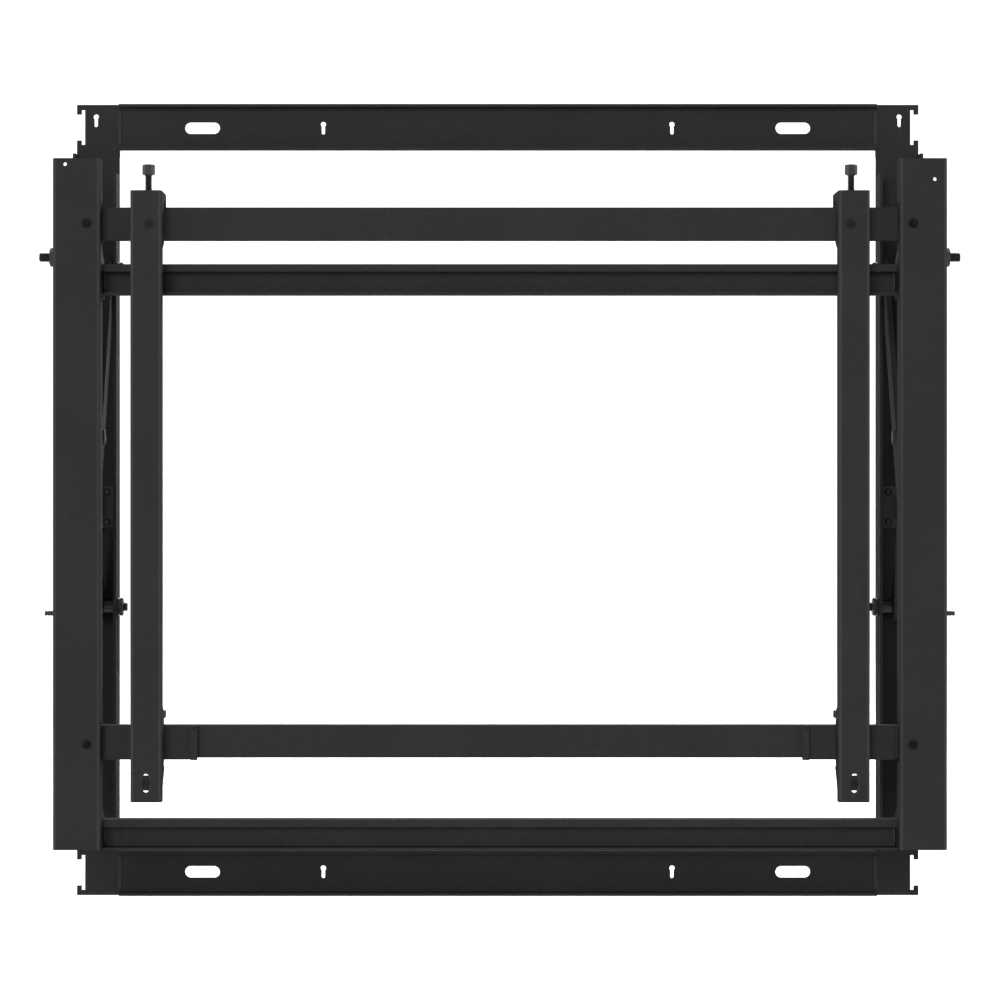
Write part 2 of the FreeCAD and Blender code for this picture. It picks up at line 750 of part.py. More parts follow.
def front_slide(name, side):
    """The pin at the lower end of the wall arm, which runs in the front member's slot."""
    label = f"{name}_front_slide_pin"
    start = "wall_arm_x-axial_clearance"
    length = f"member_outer-slide_axial_clearance-({start})"
    head = cylinder(f"{label}_head", "rivet_head_diameter/2", "rivet_head_height",
                    "-rivet_head_height")
    shank = cylinder(f"{label}_shank", "pivot_diameter/2", length)
    tail = cylinder(f"{label}_tail", "pin_tail_diameter/2", "pin_tail_length+overrun",
                    f"{length}-overrun")
    pin = keep(fuse(label, head, shank, tail), label)
    place_outward(pin, side, start, "front_pivot_y", "slide_open")


# Front frame

def front_member(label, side):
    """An upright channel open to the back, with ears for the cross rails."""
    body = new_body(label)
    inner_back = "face_y+member_inner_depth"
    outer_back = "face_y+member_outer_depth"
    profile = polygon(*mirrored(
        side,
        ("member_inner", "face_y"),
        ("member_inner", inner_back),
        ("member_inner+sheet", inner_back),
        ("member_inner+sheet", "web_back_y"),
        ("member_outer-sheet", "web_back_y"),
        ("member_outer-sheet", outer_back),
        ("member_outer", outer_back),
        ("member_outer", "face_y"),
    ))
    add(body, "XY", "-member_bottom", "member_top", profile)
    bend(body, 2, (f"{side}*member_inner", "face_y"), (f"{side}*member_outer", "face_y"))
    flange = (f"{side}*member_inner", f"{side}*(member_inner+sheet)")
    for top in ("upper_cross_rail_top", "lower_cross_rail_top"):
        bottom = f"{top}-cross_rail_height"
        if top.startswith("upper"):
            bottom = f"{bottom}-ear_margin"
        ear_top = f"{top}+ear_top_margin"
        ear = polygon(
            (f"{inner_back}-overrun", bottom),
            ("ear_back_y", bottom),
            ("ear_back_y", ear_top),
            (inner_back, f"{ear_top}+ear_slope_rise"),
            (f"{inner_back}-overrun", f"{ear_top}+ear_slope_rise"),
        )
        add(body, "YZ", *flange, ear)
    through = (f"{side}*(member_inner-overrun)", f"{side}*(member_inner+sheet+overrun)")
    for centre in ("upper_hang_rail_height", "lower_hang_rail_height"):
        window = rectangle(
            "rail_front_y-depth_travel-hang_rail_window_margin",
            f"{inner_back}+overrun",
            f"{centre}-hang_rail_height/2-hang_rail_window_margin",
            f"{centre}+hang_rail_height/2+hang_rail_window_margin",
        )
        cut(body, "YZ", *through, window)
    outer = (f"{side}*(member_outer+overrun)", f"{side}*(member_outer-sheet-overrun)")
    pivot = circle("front_pivot_y", "pivot_height", "pivot_hole")
    slide = slot("front_pivot_y", "slide_middle", "slide_length", "slide_width")
    cut(body, "YZ", *outer, pivot, slide)
    screw_hole = "depth_screw_diameter/2+running_clearance"
    screws = [circle(f"{side}*depth_screw_x", f"{centre}-depth_screw_drop", screw_hole)
              for centre in ("upper_hang_rail_height", "lower_hang_rail_height")]
    drop = "left_tool_hole_drop" if side < 0 else "right_tool_hole_drop"
    tool_hole = circle(f"{side}*(member_outer-tool_hole_inset)", f"member_top-{drop}",
                       "tool_hole_diameter/2")
    cut(body, "XZ", "face_y-overrun", "web_back_y+overrun", *screws, tool_hole)


def cross_rail(label, top):
    """A C section between the members, with a lip turned down at the front of its top."""
    body = new_body(label)
    front = "face_y+member_inner_depth"
    bottom = f"{top}-cross_rail_height"
    profile = polygon(
        ("ear_back_y", bottom),
        ("ear_back_y", top),
        (front, top),
        (front, f"{top}-cross_rail_lip"),
        (f"{front}+cross_rail_sheet", f"{top}-cross_rail_lip"),
        (f"{front}+cross_rail_sheet", f"{top}-cross_rail_sheet"),
        ("ear_back_y-cross_rail_sheet", f"{top}-cross_rail_sheet"),
        ("ear_back_y-cross_rail_sheet", f"{bottom}+cross_rail_sheet"),
        (front, f"{bottom}+cross_rail_sheet"),
        (front, bottom),
    )
    add(body, "YZ", "-member_inner", "member_inner", profile)


def front_pivot_fasteners():
    """Bolt, spacer and nut of each fixed pivot at the top of a front member."""
    head_x = "front_arm_x-axial_clearance"
    length = f"member_outer+nut_height+front_bolt_tip-({head_x})"
    spacer_x = "front_arm_x+arm_sheet+axial_clearance"
    spacer_length = f"member_outer-sheet-({spacer_x})"

    def bolt(label, side):
        item = hex_bolt(label, "pivot_diameter", length, "bolt_head_flats", "bolt_head_height")
        return place_outward(item, side, head_x, "front_pivot_y", "pivot_height")

    def spacer(label, side):
        item = ring(label, "spacer_diameter/2", "pivot_hole", spacer_length)
        return place_outward(item, side, spacer_x, "front_pivot_y", "pivot_height")

    def outer_nut(label, side):
        item = nut(label, "nut_flats", "pivot_hole", "nut_height")
        return place_outward(item, side, "member_outer", "front_pivot_y", "pivot_height")

    keep_pair("front_pivot_bolts", bolt)
    keep_pair("front_pivot_spacers", spacer)
    keep_pair("front_pivot_nuts", outer_nut)


# Hang rails

def hang_rail(label, centre):
    """A C section that the brackets hook over, tapped for a depth screw at each end."""
    body = new_body(label)
    top = f"{centre}+hang_rail_height/2"
    bottom = f"{centre}-hang_rail_height/2"
    profile = polygon(
        ("rail_front_y", bottom),
        ("rail_front_y", top),
        ("rail_back_y", top),
        ("rail_back_y", f"{top}-hang_rail_sheet"),
        ("rail_front_y+hang_rail_sheet", f"{top}-hang_rail_sheet"),
        ("rail_front_y+hang_rail_sheet", f"{bottom}+hang_rail_sheet"),
        ("rail_back_y", f"{bottom}+hang_rail_sheet"),
        ("rail_back_y", bottom),
    )
    add(body, "YZ", "-hang_rail_end", "hang_rail_end", profile)
    screw_hole = "depth_screw_diameter/2+running_clearance"
    holes = [circle(f"{side}*depth_screw_x", f"{centre}-depth_screw_drop", screw_hole)
             for side in SIDES.values()]
    cut(body, "XZ", "rail_front_y-overrun", "rail_front_y+hang_rail_sheet+overrun", *holes)


def depth_screw(label, side, centre):
    """A screw held in the front member by its collar; turning it moves the hang rail."""
    shank = cylinder(f"{label}_shank", "depth_screw_diameter/2", "depth_screw_length")
    collar = cylinder(f"{label}_collar", "depth_screw_collar/2", "depth_screw_collar_sheet",
                      "sheet-depth_screw_recess+axial_clearance")
    socket = hexagon(f"{label}_socket", "depth_screw_socket", "depth_screw_socket_depth+overrun",
                     "-overrun")
    screw = subtract(label, fuse(f"{label}_solid", shank, collar), socket)
    place_backward(keep(screw, label), f"{side}*depth_screw_x", "depth_screw_end_y",
                   f"{centre}-depth_screw_drop")


def rail_stop(label, side):
    """A folded end piece round the front and underside of the lower hang rail."""
    body = new_body(label)
    front = "rail_front_y-stop_sheet"
    strip_inner = "stop_start+stop_strip_width"
    strip_front = f"{front}-stop_strip_rise"
    profile = polygon(*mirrored(
        side,
        ("stop_end", "rail_front_y"),
        ("stop_end", front),
        (strip_inner, front),
        (strip_inner, strip_front),
        ("stop_start", strip_front),
        ("stop_start", f"{strip_front}+stop_sheet"),
        (f"{strip_inner}-stop_sheet", f"{strip_front}+stop_sheet"),
        (f"{strip_inner}-stop_sheet", "rail_front_y"),
    ))
    add(body, "XY", "lower_rail_bottom-stop_sheet", "lower_rail_top", profile)
    lip = rectangle(f"{side}*({strip_inner}-stop_sheet)", f"{side}*stop_end",
                    "rail_front_y", "rail_front_y+stop_lip_depth")
    add(body, "XY", "lower_rail_bottom-stop_sheet", "lower_rail_bottom", lip)
    hole = circle(f"{side}*(stop_start+stop_strip_width/2)", "lower_rail_top-stop_hole_drop",
                  "stop_hole_diameter/2")
    cut(body, "XZ", f"{strip_front}-overrun", f"{strip_front}+stop_sheet+overrun", hole)


# Display brackets and hangers

def hooked_channel(label, side, width, outline, wall, inside_y, bottom, top):
    """A channel whose two flanges share one cut outline, open to the back below its top."""
    body = new_body(label)
    edges = (f"{side}*bracket_x-{width}/2", f"{side}*bracket_x+{width}/2")
    add(body, "YZ", *edges, polygon(*outline))
    front = outline[0][0]
    bend(body, 2, *[(edge, front) for edge in edges])
    inside = rectangle(f"{edges[0]}+{wall}", f"{edges[1]}-{wall}", f"{bottom}-overrun", top)
    cut(body, "XZ", inside_y, "hook_end_y+overrun", inside)
    return body


def bracket_outline():
    """The flange of a display bracket: a hook over the upper rail, a jaw round the lower one."""
    bar_bottom = "bracket_top-hook_bar"
    toe = "upper_rail_bottom-hook_toe"
    jaw_top = "lower_rail_top+hook_play"
    jaw_bottom = "lower_rail_bottom-stop_sheet-hook_play"
    jaw_back = "hook_front_y+lower_hook_reach"
    return [
        ("bracket_y", "bracket_bottom"),
        ("bracket_y", "bracket_top"),
        ("hook_end_y", "bracket_top"),
        ("hook_end_y", f"{bar_bottom}-hook_tail_drop"),
        ("hook_back_y", f"{bar_bottom}-hook_tail_drop"),
        ("hook_back_y", bar_bottom),
        ("hook_front_y", bar_bottom),
        ("hook_front_y", toe),
        ("bracket_back_y", f"{toe}-hook_taper"),
        ("bracket_back_y", f"{jaw_top}+hook_bar+hook_taper"),
        ("hook_front_y", f"{jaw_top}+hook_bar"),
        (jaw_back, f"{jaw_top}+hook_bar"),
        (jaw_back, jaw_top),
        ("hook_front_y", jaw_top),
        ("hook_front_y", jaw_bottom),
        ("hook_front_y+lower_toe_reach", jaw_bottom),
        ("bracket_back_y", f"{jaw_bottom}-lower_toe_taper"),
        ("bracket_back_y", "bracket_bottom"),
    ]


def display_bracket(name, side):
    label = f"{name}_display_bracket"
    body = hooked_channel(label, side, "bracket_width", bracket_outline(), "sheet",
                          "bracket_y+sheet", "bracket_bottom", "bracket_top-sheet")
    guide_hole = circle(f"{side}*guide_screw_x", "guide_screw_height",
                        "guide_screw_diameter/2+running_clearance")
    lock_slot = slot(f"{side}*bracket_x", "lock_screw_height", "lock_slot_length", "lock_slot_width")
    cut(body, "XZ", "bracket_y-overrun", "bracket_y+sheet+overrun", guide_hole, lock_slot)
    countersink(body, f"{side}*guide_screw_x", "guide_screw_height", "guide_screw_head",
                "(guide_screw_head-guide_screw_diameter)/2+guide_screw_sink")
    countersink(body, f"{side}*bracket_x", "lock_screw_height", "lock_slot_length/2",
                "lock_slot_flare")
    screw_hole = circle(f"{side}*height_screw_x", "height_screw_y",
                        "height_screw_diameter/2+running_clearance")
    cut(body, "XY", "bracket_top+overrun", "bracket_top-sheet-overrun", screw_hole)


def upper_hanger(name, side):
    """The inner channel that sits on the upper rail and takes the height screw's tip."""
    label = f"{name}_upper_hanger"
    bottom = "upper_rail_bottom-hook_toe"
    outline = [
        ("hanger_y", bottom),
        ("hanger_y", "hanger_top"),
        ("hook_end_y", "hanger_top"),
        ("hook_end_y", "hanger_top-hook_tail_drop"),
        ("hook_back_y", "hanger_top-hook_tail_drop"),
        ("hook_back_y", "hanger_seat"),
        ("hanger_rail_y", "hanger_seat"),
        ("hanger_rail_y", bottom),
    ]
    body = hooked_channel(label, side, "hanger_width", outline, "hanger_sheet",
                          "hanger_back_y", bottom, "hanger_top-hanger_sheet")
    guide_slot = slot(f"{side}*guide_screw_x", "guide_screw_height",
                      "guide_screw_diameter+2*height_travel+2*slide_clearance",
                      "guide_screw_diameter+2*slide_clearance")
    cut(body, "XZ", "hanger_y-overrun", "hanger_back_y+overrun", guide_slot)


def lower_hanger(name, side):
    """The inner channel round the lower rail, with a strap for the lock screw."""
    label = f"{name}_lower_hanger"
    seat_top = "lower_rail_top+hanger_rest_gap"
    seat_bottom = "lower_rail_bottom-stop_sheet-hanger_rest_gap"
    seat_front = "rail_front_y-stop_sheet-hook_gap"
    outline = [
        ("hanger_y", "lower_hanger_bottom"),
        ("hanger_y", "lower_hanger_top"),
        (f"{seat_front}+lower_hanger_arm", "lower_hanger_top"),
        (f"{seat_front}+lower_hanger_arm", seat_top),
        (seat_front, seat_top),
        (seat_front, seat_bottom),
        (f"{seat_front}+lower_hanger_toe", seat_bottom),
        (f"{seat_front}+lower_hanger_toe", f"{seat_bottom}-lower_hanger_toe_sheet"),
        ("bracket_back_y", "lower_hanger_bottom"),
    ]
    body = hooked_channel(label, side, "hanger_width", outline, "hanger_sheet",
                          "hanger_back_y", "lower_hanger_bottom", "lower_hanger_top+overrun")
    left = f"{side}*bracket_x-hanger_window_width/2"
    right = f"{side}*bracket_x+hanger_window_width/2"
    strap_top = "lower_hanger_bottom+lock_strap_height"
    window = rectangle(left, right, strap_top, f"{strap_top}+hanger_window_width")
    screw = circle(f"{side}*bracket_x", "lock_screw_height",
                   "lock_screw_diameter/2+running_clearance")
    cut(body, "XZ", "hanger_y-overrun", "hanger_back_y+overrun", window, screw)


def bracket_screws(name, side):
    """Height screw on top, guide screw at the hanger, lock screw in the slot at the bottom."""
    label = f"{name}_height_screw"
    head = hexagon(f"{label}_head", "height_screw_flats", "height_screw_head")
    shank = cylinder(f"{label}_shank", "height_screw_diameter/2", "height_screw_shank+overrun",
                     "-height_screw_shank")
    socket = hexagon(f"{label}_socket", "height_screw_socket", "height_screw_socket_depth+overrun",
                     "height_screw_head-height_screw_socket_depth")
    screw = subtract(label, fuse(f"{label}_solid", head, shank), socket)
    place(keep(screw, label), f"{side}*height_screw_x", "height_screw_y", "height_screw_z")
    label = f"{name}_guide_screw"
    screw = flat_screw(label, "guide_screw_diameter", "guide_screw_length", "guide_screw_head",
                       "guide_screw_socket", "guide_screw_socket_depth")
    place_backward(keep(screw, label), f"{side}*guide_screw_x", "bracket_y+guide_screw_sink",
                   "guide_screw_height")
    label = f"{name}_guide_nut"
    guide_nut = nut(label, "guide_nut_flats", "guide_screw_diameter/2+running_clearance",
                    "guide_nut_height")
    place_backward(keep(guide_nut, label), f"{side}*guide_screw_x",
                   "hanger_back_y+nest_clearance", "guide_screw_height")
    label = f"{name}_lock_screw"
    screw = flat_screw(label, "lock_screw_diameter", "lock_screw_length", "lock_screw_head",
                       "lock_screw_socket", "lock_screw_socket_depth")
    place_backward(keep(screw, label), f"{side}*bracket_x", "bracket_y+lock_screw_sink",
                   "lock_screw_height")


# Push latches

def latch(name, side):
    """A housing on the upright with a sprung plunger that meets a striker on the front member."""
    body = new_body(f"{name}_latch_housing")
    half_plate = "latch_plate_height/2"
    plate = rectangle(f"{side}*(flange_outside+latch_plate_gap)",
                      f"{side}*(half_width-sheet-latch_plate_gap)",
                      f"latch_height-{half_plate}", f"latch_height+{half_plate}")
    add(body, "XZ", "-sheet", "latch_plate_y", plate)
    half_body = "latch_body_width/2"
    block = rectangle(f"{side}*(latch_centre-{half_body})", f"{side}*(latch_centre+{half_body})",
                      "latch_height-latch_body_height/2", "latch_height+latch_body_height/2")
    add(body, "XZ", "latch_plate_y", "latch_body_y", block)
    bore = circle(f"{side}*latch_centre", "latch_height",
                  "latch_plunger_diameter/2+running_clearance")
    cut(body, "XZ", "latch_body_y-overrun", "latch_body_y+latch_bore_depth", bore)
    label = f"{name}_latch_plunger"
    rod = cylinder(f"{label}_rod", "latch_plunger_diameter/2", "latch_plunger_length")
    cap = cylinder(f"{label}_cap", "latch_plunger_cap/2", "latch_plunger_cap_height",
                   "-latch_plunger_cap_height")
    plunger = keep(fuse(label, rod, cap), label)
    place_backward(plunger, f"{side}*latch_centre", "latch_seat_y-latch_plunger_length",
                   "latch_height")
    body = new_body(f"{name}_latch_striker")
    post = rectangle(f"{side}*(latch_centre-striker_width/2)",
                     f"{side}*(latch_centre+striker_width/2)",
                     "latch_height-striker_height/2", "latch_height+striker_height/2")
    add(body, "XZ", "web_back_y", "web_back_y+striker_length", post)


def build():
    fill_sheet()
    wall_rail("top_wall_rail", 1)
    wall_rail("bottom_wall_rail", -1)
    for name, side in SIDES.items():
        upright(f"{name}_upright", side)
        arm(f"{name}_wall_arm", side, "wall_arm_x", "wall_pivot_y", -1)
        arm(f"{name}_front_arm", side, "front_arm_x", "front_pivot_y", 1)
        centre_pivot(name, side)
        wall_slide(name, side)
        front_slide(name, side)
        front_member(f"{name}_front_member", side)
        for level in ("upper", "lower"):
            depth_screw(f"{level}_{name}_depth_screw", side, f"{level}_hang_rail_height")
        rail_stop(f"lower_{name}_rail_stop", side)
        display_bracket(name, side)
        upper_hanger(name, side)
        lower_hanger(name, side)
        bracket_screws(name, side)
        latch(name, side)
    wall_pivot_fasteners()
    cross_rail("upper_cross_rail", "upper_cross_rail_top")
    cross_rail("lower_cross_rail", "lower_cross_rail_top")
    front_pivot_fasteners()
    hang_rail("upper_hang_rail", "upper_hang_rail_height")
    hang_rail("lower_hang_rail", "lower_hang_rail_height")
    doc.recompute()


def check():
    for item in doc.Objects:
        if "Invalid" in item.State or "Error" in item.State:
            raise RuntimeError(f"{item.Label} failed: {item.State}")
    for node in nodes:
        if node.Shape.isNull() or not node.Shape.isValid() or not node.Shape.Solids:
            raise RuntimeError(f"{node.Label} has no valid solid")


def export():
    os.makedirs("parts", exist_ok=True)
    for node in nodes:
        node.Shape.exportStep(f"parts/{node.Label}.step")
    box = FreeCAD.BoundBox()
    for node in nodes:
        box.add(node.Shape.BoundBox)
    print(f"{len(nodes)} sub-parts, {box.XLength:.1f} x {box.YLength:.1f} x {box.ZLength:.1f} mm")


build()
check()
export()
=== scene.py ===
import json
import math

import bpy
from bpy.props import FloatProperty, FloatVectorProperty, IntProperty, PointerProperty
from bpy.types import Operator, Panel, PropertyGroup
from mathutils import Matrix, Vector

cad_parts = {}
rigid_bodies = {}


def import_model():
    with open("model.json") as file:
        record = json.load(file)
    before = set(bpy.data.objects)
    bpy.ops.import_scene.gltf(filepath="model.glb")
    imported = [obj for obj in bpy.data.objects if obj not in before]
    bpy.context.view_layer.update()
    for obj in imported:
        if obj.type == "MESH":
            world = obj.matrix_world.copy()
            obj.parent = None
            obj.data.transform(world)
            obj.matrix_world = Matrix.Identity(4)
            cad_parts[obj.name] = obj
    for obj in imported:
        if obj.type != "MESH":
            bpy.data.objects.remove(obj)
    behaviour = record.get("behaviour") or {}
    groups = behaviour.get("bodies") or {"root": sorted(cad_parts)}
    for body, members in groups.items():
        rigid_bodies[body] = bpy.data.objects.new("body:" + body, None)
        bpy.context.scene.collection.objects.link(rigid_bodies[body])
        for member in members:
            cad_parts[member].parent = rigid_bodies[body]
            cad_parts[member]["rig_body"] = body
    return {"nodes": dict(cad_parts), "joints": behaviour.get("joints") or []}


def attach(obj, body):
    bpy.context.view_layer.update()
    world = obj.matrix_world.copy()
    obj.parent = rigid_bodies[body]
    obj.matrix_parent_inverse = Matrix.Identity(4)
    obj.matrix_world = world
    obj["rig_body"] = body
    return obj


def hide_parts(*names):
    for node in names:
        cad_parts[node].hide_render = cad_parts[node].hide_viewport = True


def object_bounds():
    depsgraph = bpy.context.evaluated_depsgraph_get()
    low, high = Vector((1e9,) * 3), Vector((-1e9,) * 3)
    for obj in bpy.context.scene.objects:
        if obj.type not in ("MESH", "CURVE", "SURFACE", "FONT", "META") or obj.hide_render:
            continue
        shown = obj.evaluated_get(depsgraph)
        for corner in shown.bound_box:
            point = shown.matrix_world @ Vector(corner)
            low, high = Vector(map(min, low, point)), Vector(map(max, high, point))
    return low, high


bl_info = {
    "name": "Video Wall Mount Finish",
    "version": (1, 0, 0),
    "blender": (4, 5, 0),
    "location": "3D View > Sidebar > Mount",
    "description": "Finishes a pop-out video wall mount: coated sheet metal, screws and latches",
    "category": "Object",
}

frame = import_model()
CAD_BOX = [list(corner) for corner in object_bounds()]
CAD_MIDDLE = [sum(pair) / 2 for pair in zip(*CAD_BOX)]

MM = 0.001
MERGE = 1e-6
SIDES = {"left": -1, "right": 1}

# How far a cutting tool reaches past the face that it cuts
PAST = 0.1 * MM

# Faces round a turned piece, and the angle past which edges stay sharp or are bevelled
ROUND = 48
SHARP = math.radians(35)
WELD_ROUND = 16
WELD_SHARP = math.radians(60)

# A hexagon head, in shares of its width across flats: its turned face and its corners
HEX_FACE = 0.48
HEX_CORNER = 0.6
HEX_SLOPE = math.radians(30)

# The drilled point under a hexagon socket: reach in shares of the key, tip of the reach
DRILL_REACH = 0.47
DRILL_TIP = 0.1
DRILL_SLOPE = 0.6

# Turns of thread that are swept past both ends and then trimmed
SPARE_TURNS = 3

# Turned profiles: shares of the head's radius and of its thickness
RIVET_DOME = ((0.62, 0.0), (0.9, 0.22), (1.0, 0.6), (1.0, 1.0))
RIVET_CLENCH = ((1.0, 1.0), (1.0, 0.55), (0.86, 0.15), (0.6, 0.0), (0.3, 0.0), (0.16, 0.35))
PLUNGER_CAP = ((0.45, 0.0), (0.78, 0.12), (0.94, 0.35), (1.0, 0.65), (1.0, 1.0))
PAN_HEAD = ((0.7, 0.0), (0.92, 0.25), (1.0, 0.6), (1.0, 1.0), (0.5, 1.0), (0.5, 1.5))

# Shares: a pan head's socket, a plate screw's height on its plate, a pin's groove
PAN_KEY = 0.9
PAN_KEY_DEPTH = 0.6
PLATE_SCREW_HEIGHT = 0.36
PIN_GROOVE = 0.78

# One puddle of a weld: shares of its length and of the bead's radius
PUDDLE = ((0.05, 0.86), (0.45, 1.0), (0.8, 0.97))
PUDDLE_FADE = 0.7
WELD_TIP = 0.3

# Detail and roughness of the powder's grain, and of the orange peel under it
GRAIN = (3.0, 0.6)
PEEL = (1.0, 0.4)

# Noise patterns: scale, detail and roughness, and for masks the values from none to full
SLOW_TONE = (14.0, 4.0, 0.55)
EDGE_CHIPS = ((260.0, 4.0, 0.65), (0.46, 0.62))
DUST_CLOUDS = ((36.0, 6.0, 0.7), (0.40, 0.72))
MARK_LINES = ((1.0, 1.0, 0.4), (0.70, 0.76))
MARK_PATCHES = ((11.0, 2.0, 0.5), (0.52, 0.66))
TRACK_GRAIN = ((420.0, 3.0, 0.6), (0.3, 0.7, 0.35, 1.0))

# The turn and the stretch that make noise into handling marks
MARK_TURN = (0.25, 0.4, 0.1)
MARK_STRETCH = (900.0, 900.0, 26.0)

# Values from which and to which a tone or a mask is spread
TONE_SPAN = (0.3, 0.7)
WIDE_SPAN = (0.25, 0.75)
GRAIN_SPAN = (0.36, 0.64)
EDGE_TURN = (0.97, 0.80)
BEND_TURN = (0.998, 0.96)
FACING_UP = (0.55, 0.98)
TRACK_RIM = (1.05, 0.9)

# How much darker or paler a finish gets with its own tone, and the share of the slow tone
COAT_SPREAD = 0.15
METAL_SPREAD = 0.1
SMOOTH_SPREAD = 0.08
SLOW_SHARE = 0.3

# How much a finish's roughness falls and rises with its own tone
COAT_ROUGHNESS = (0.04, 0.04)
METAL_ROUGHNESS = (0.05, 0.07)
SMOOTH_ROUGHNESS = (0.05, 0.05)

# How much of a pale tone is mixed in, and how many times paler than the finish it is; on bends this
# pale tone is a painted highlight
BEND_HIGHLIGHT = (0.6, 2.0)
COAT_EDGE = (0.6, 2.6)
COAT_MARK = (0.5, 1.9)
COAT_TRACK = (0.55, 1.6)
METAL_WEAR = (0.6, 2.6)
SMOOTH_EDGE = (0.3, 1.8)

# How much smoother a coat is on a track, and a slide pin's reach in shares of a washer's
TRACK_POLISH = 0.2
PIN_REACH = 0.75

# Floor, backdrop and lamps
FLOOR_WIDTH = 40.0
FLOOR_LENGTH = 16.0
BACKDROP_HEIGHT = 9.0
BACKDROP_SWEEP = 2.5
SWEEP_STEPS = 24
FADE_SPAN = 2.5
LAMP_WIDTH = 2.6
KEY_PLACE = (-0.9, -7.5, 1.0)
SIDE_PLACE = (6.0, 0.4, 1.2)
BACK_PLACE = (0.8, 5.5, 2.2)


# Places read from the fixed frame

OUTWARD = {side: Matrix.Rotation(math.radians(90 * side), 4, "Y") for side in SIDES.values()}
INWARD = {side: Matrix.Rotation(math.radians(-90 * side), 4, "Y") for side in SIDES.values()}
BACKWARD = Matrix.Rotation(math.radians(-90), 4, "X")
DOWNWARD = Matrix.Rotation(math.radians(180), 4, "X")


def corners(node, side=0):
    """Lowest and highest corner of a node, or of its solid on one side of the mount."""
    points = [v.co for v in frame["nodes"][node].data.vertices if v.co.x * side >= 0]
    low = Vector(min(p[axis] for p in points) for axis in range(3))
    high = Vector(max(p[axis] for p in points) for axis in range(3))
    return low, high


def size(node, side=0):
    low, high = corners(node, side)
    return high - low


def middle(node, side=0):
    low, high = corners(node, side)
    return (low + high) / 2


def body_of(node):
    return frame["nodes"][node]["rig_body"]


def along_x(node, side, outward):
    """Where a piece that lies along X starts: its near or far end, on its own axis."""
    low, high = corners(node, side)
    centre = (low + high) / 2
    near, far = sorted((low.x, high.x), key=abs)
    turn = OUTWARD[side] if outward else INWARD[side]
    return Matrix.Translation((near if outward else far, centre.y, centre.z)) @ turn


def along_y(node):
    """Where a piece that runs back from its front face starts, on its own axis."""
    centre = middle(node)
    return Matrix.Translation((centre.x, corners(node)[0].y, centre.z)) @ BACKWARD


def pair_jobs(node, outward):
    """Names and places for the two solids of a node that holds a left and a right one."""
    return [(f"{name}_{node.removesuffix('s')}", node, along_x(node, side, outward))
            for name, side in SIDES.items()]


def side_jobs(piece, outward=True):
    """Names and places for a piece that has a node of its own on each side."""
    nodes = {f"{name}_{piece}": side for name, side in SIDES.items()}
    return [(f"{node}_piece", node, along_x(node, side, outward)) for node, side in nodes.items()]


def front_jobs(*nodes):
    """Names and places for pieces that run back from their front face."""
    return [(f"{node}_piece", node, along_y(node)) for node in nodes]


def both(piece):
    """The nodes of a piece on both sides."""
    return [f"{side}_{piece}" for side in SIDES]


def slide_travel():
    """How far the lower ends of the arms run down their slots as the mount closes."""
    arm = middle("wall_pivot_bolts", SIDES["left"]) - middle("left_front_slide_pin")
    length = math.hypot(arm.y, arm.z)
    fold = next(joint for joint in frame["joints"] if joint["name"] == "fold")
    closed = math.atan2(arm.y, arm.z) - math.radians(fold["range_deg"][1])
    return length * math.cos(closed) - arm.z


# Modelling with Blender's own tools

def select(*pieces):
    """Select these pieces alone, and make the last one active."""
    bpy.ops.object.select_all(action="DESELECT")
    for piece in pieces:
        piece.select_set(True)
    bpy.context.view_layer.objects.active = pieces[-1]


def edit(piece):
    """Work on this piece alone, in edit mode."""
    select(piece)
    bpy.ops.object.mode_set(mode="EDIT")


def leave():
    bpy.ops.object.mode_set(mode="OBJECT")


def started(name, scale=(1, 1, 1)):
    """Name the primitive that was just added, and put its place and size in its mesh."""
    piece = bpy.context.active_object
    piece.name = name
    piece.data.name = name
    piece.scale = scale
    bpy.ops.object.transform_apply(location=True, rotation=True, scale=True)
    return piece


def turned(name, rings, sides=ROUND):
    """A turned piece: a disc extruded along Z through rings of radius and height."""
    bpy.ops.object.select_all(action="DESELECT")
    (radius, height), *following = rings
    bpy.ops.mesh.primitive_circle_add(
        vertices=sides, radius=radius, fill_type="NGON", location=(0, 0, height))
    piece = started(name)
    edit(piece)
    bpy.ops.mesh.select_all(action="SELECT")
    for next_radius, next_height in following:
        bpy.ops.mesh.extrude_region_move(
            TRANSFORM_OT_translate={"value": (0, 0, next_height - height)})
        share = next_radius / radius
        bpy.ops.transform.resize(value=(share, share, 1), center_override=(0, 0, next_height))
        radius, height = next_radius, next_height
    bpy.ops.mesh.select_all(action="SELECT")
    bpy.ops.mesh.normals_make_consistent(inside=False)
    leave()
    return piece


def profile(shares, radius, thickness, start=0.0):
    """Rings of a turned profile that is given in shares of a radius and a thickness."""
    return [(radius * wide, start + thickness * rise) for wide, rise in shares]


def prism(flats, low, high):
    """A hexagon bar along Z, given across its flats."""
    bpy.ops.object.select_all(action="DESELECT")
    bpy.ops.mesh.primitive_cylinder_add(
        vertices=6, radius=flats / math.sqrt(3), depth=high - low,
        location=(0, 0, (low + high) / 2), rotation=(0, 0, math.radians(90)))
    return started("prism")


def block(name, low, high):
    """A block between two corners."""
    low, high = Vector(low), Vector(high)
    bpy.ops.object.select_all(action="DESELECT")
    bpy.ops.mesh.primitive_cube_add(size=1.0, location=(low + high) / 2)
    return started(name, high - low)


def recess(piece, axis, margin, depth):
    """Sink a panel into the two faces that look along an axis."""
    edit(piece)
    bpy.ops.mesh.select_all(action="DESELECT")
    leave()
    for polygon in piece.data.polygons:
        polygon.select = abs(polygon.normal[axis]) > 0.9
    edit(piece)
    bpy.ops.mesh.inset(thickness=margin, depth=0.0, use_individual=True)
    bpy.ops.mesh.inset(thickness=depth, depth=-depth, use_individual=True)
    leave()


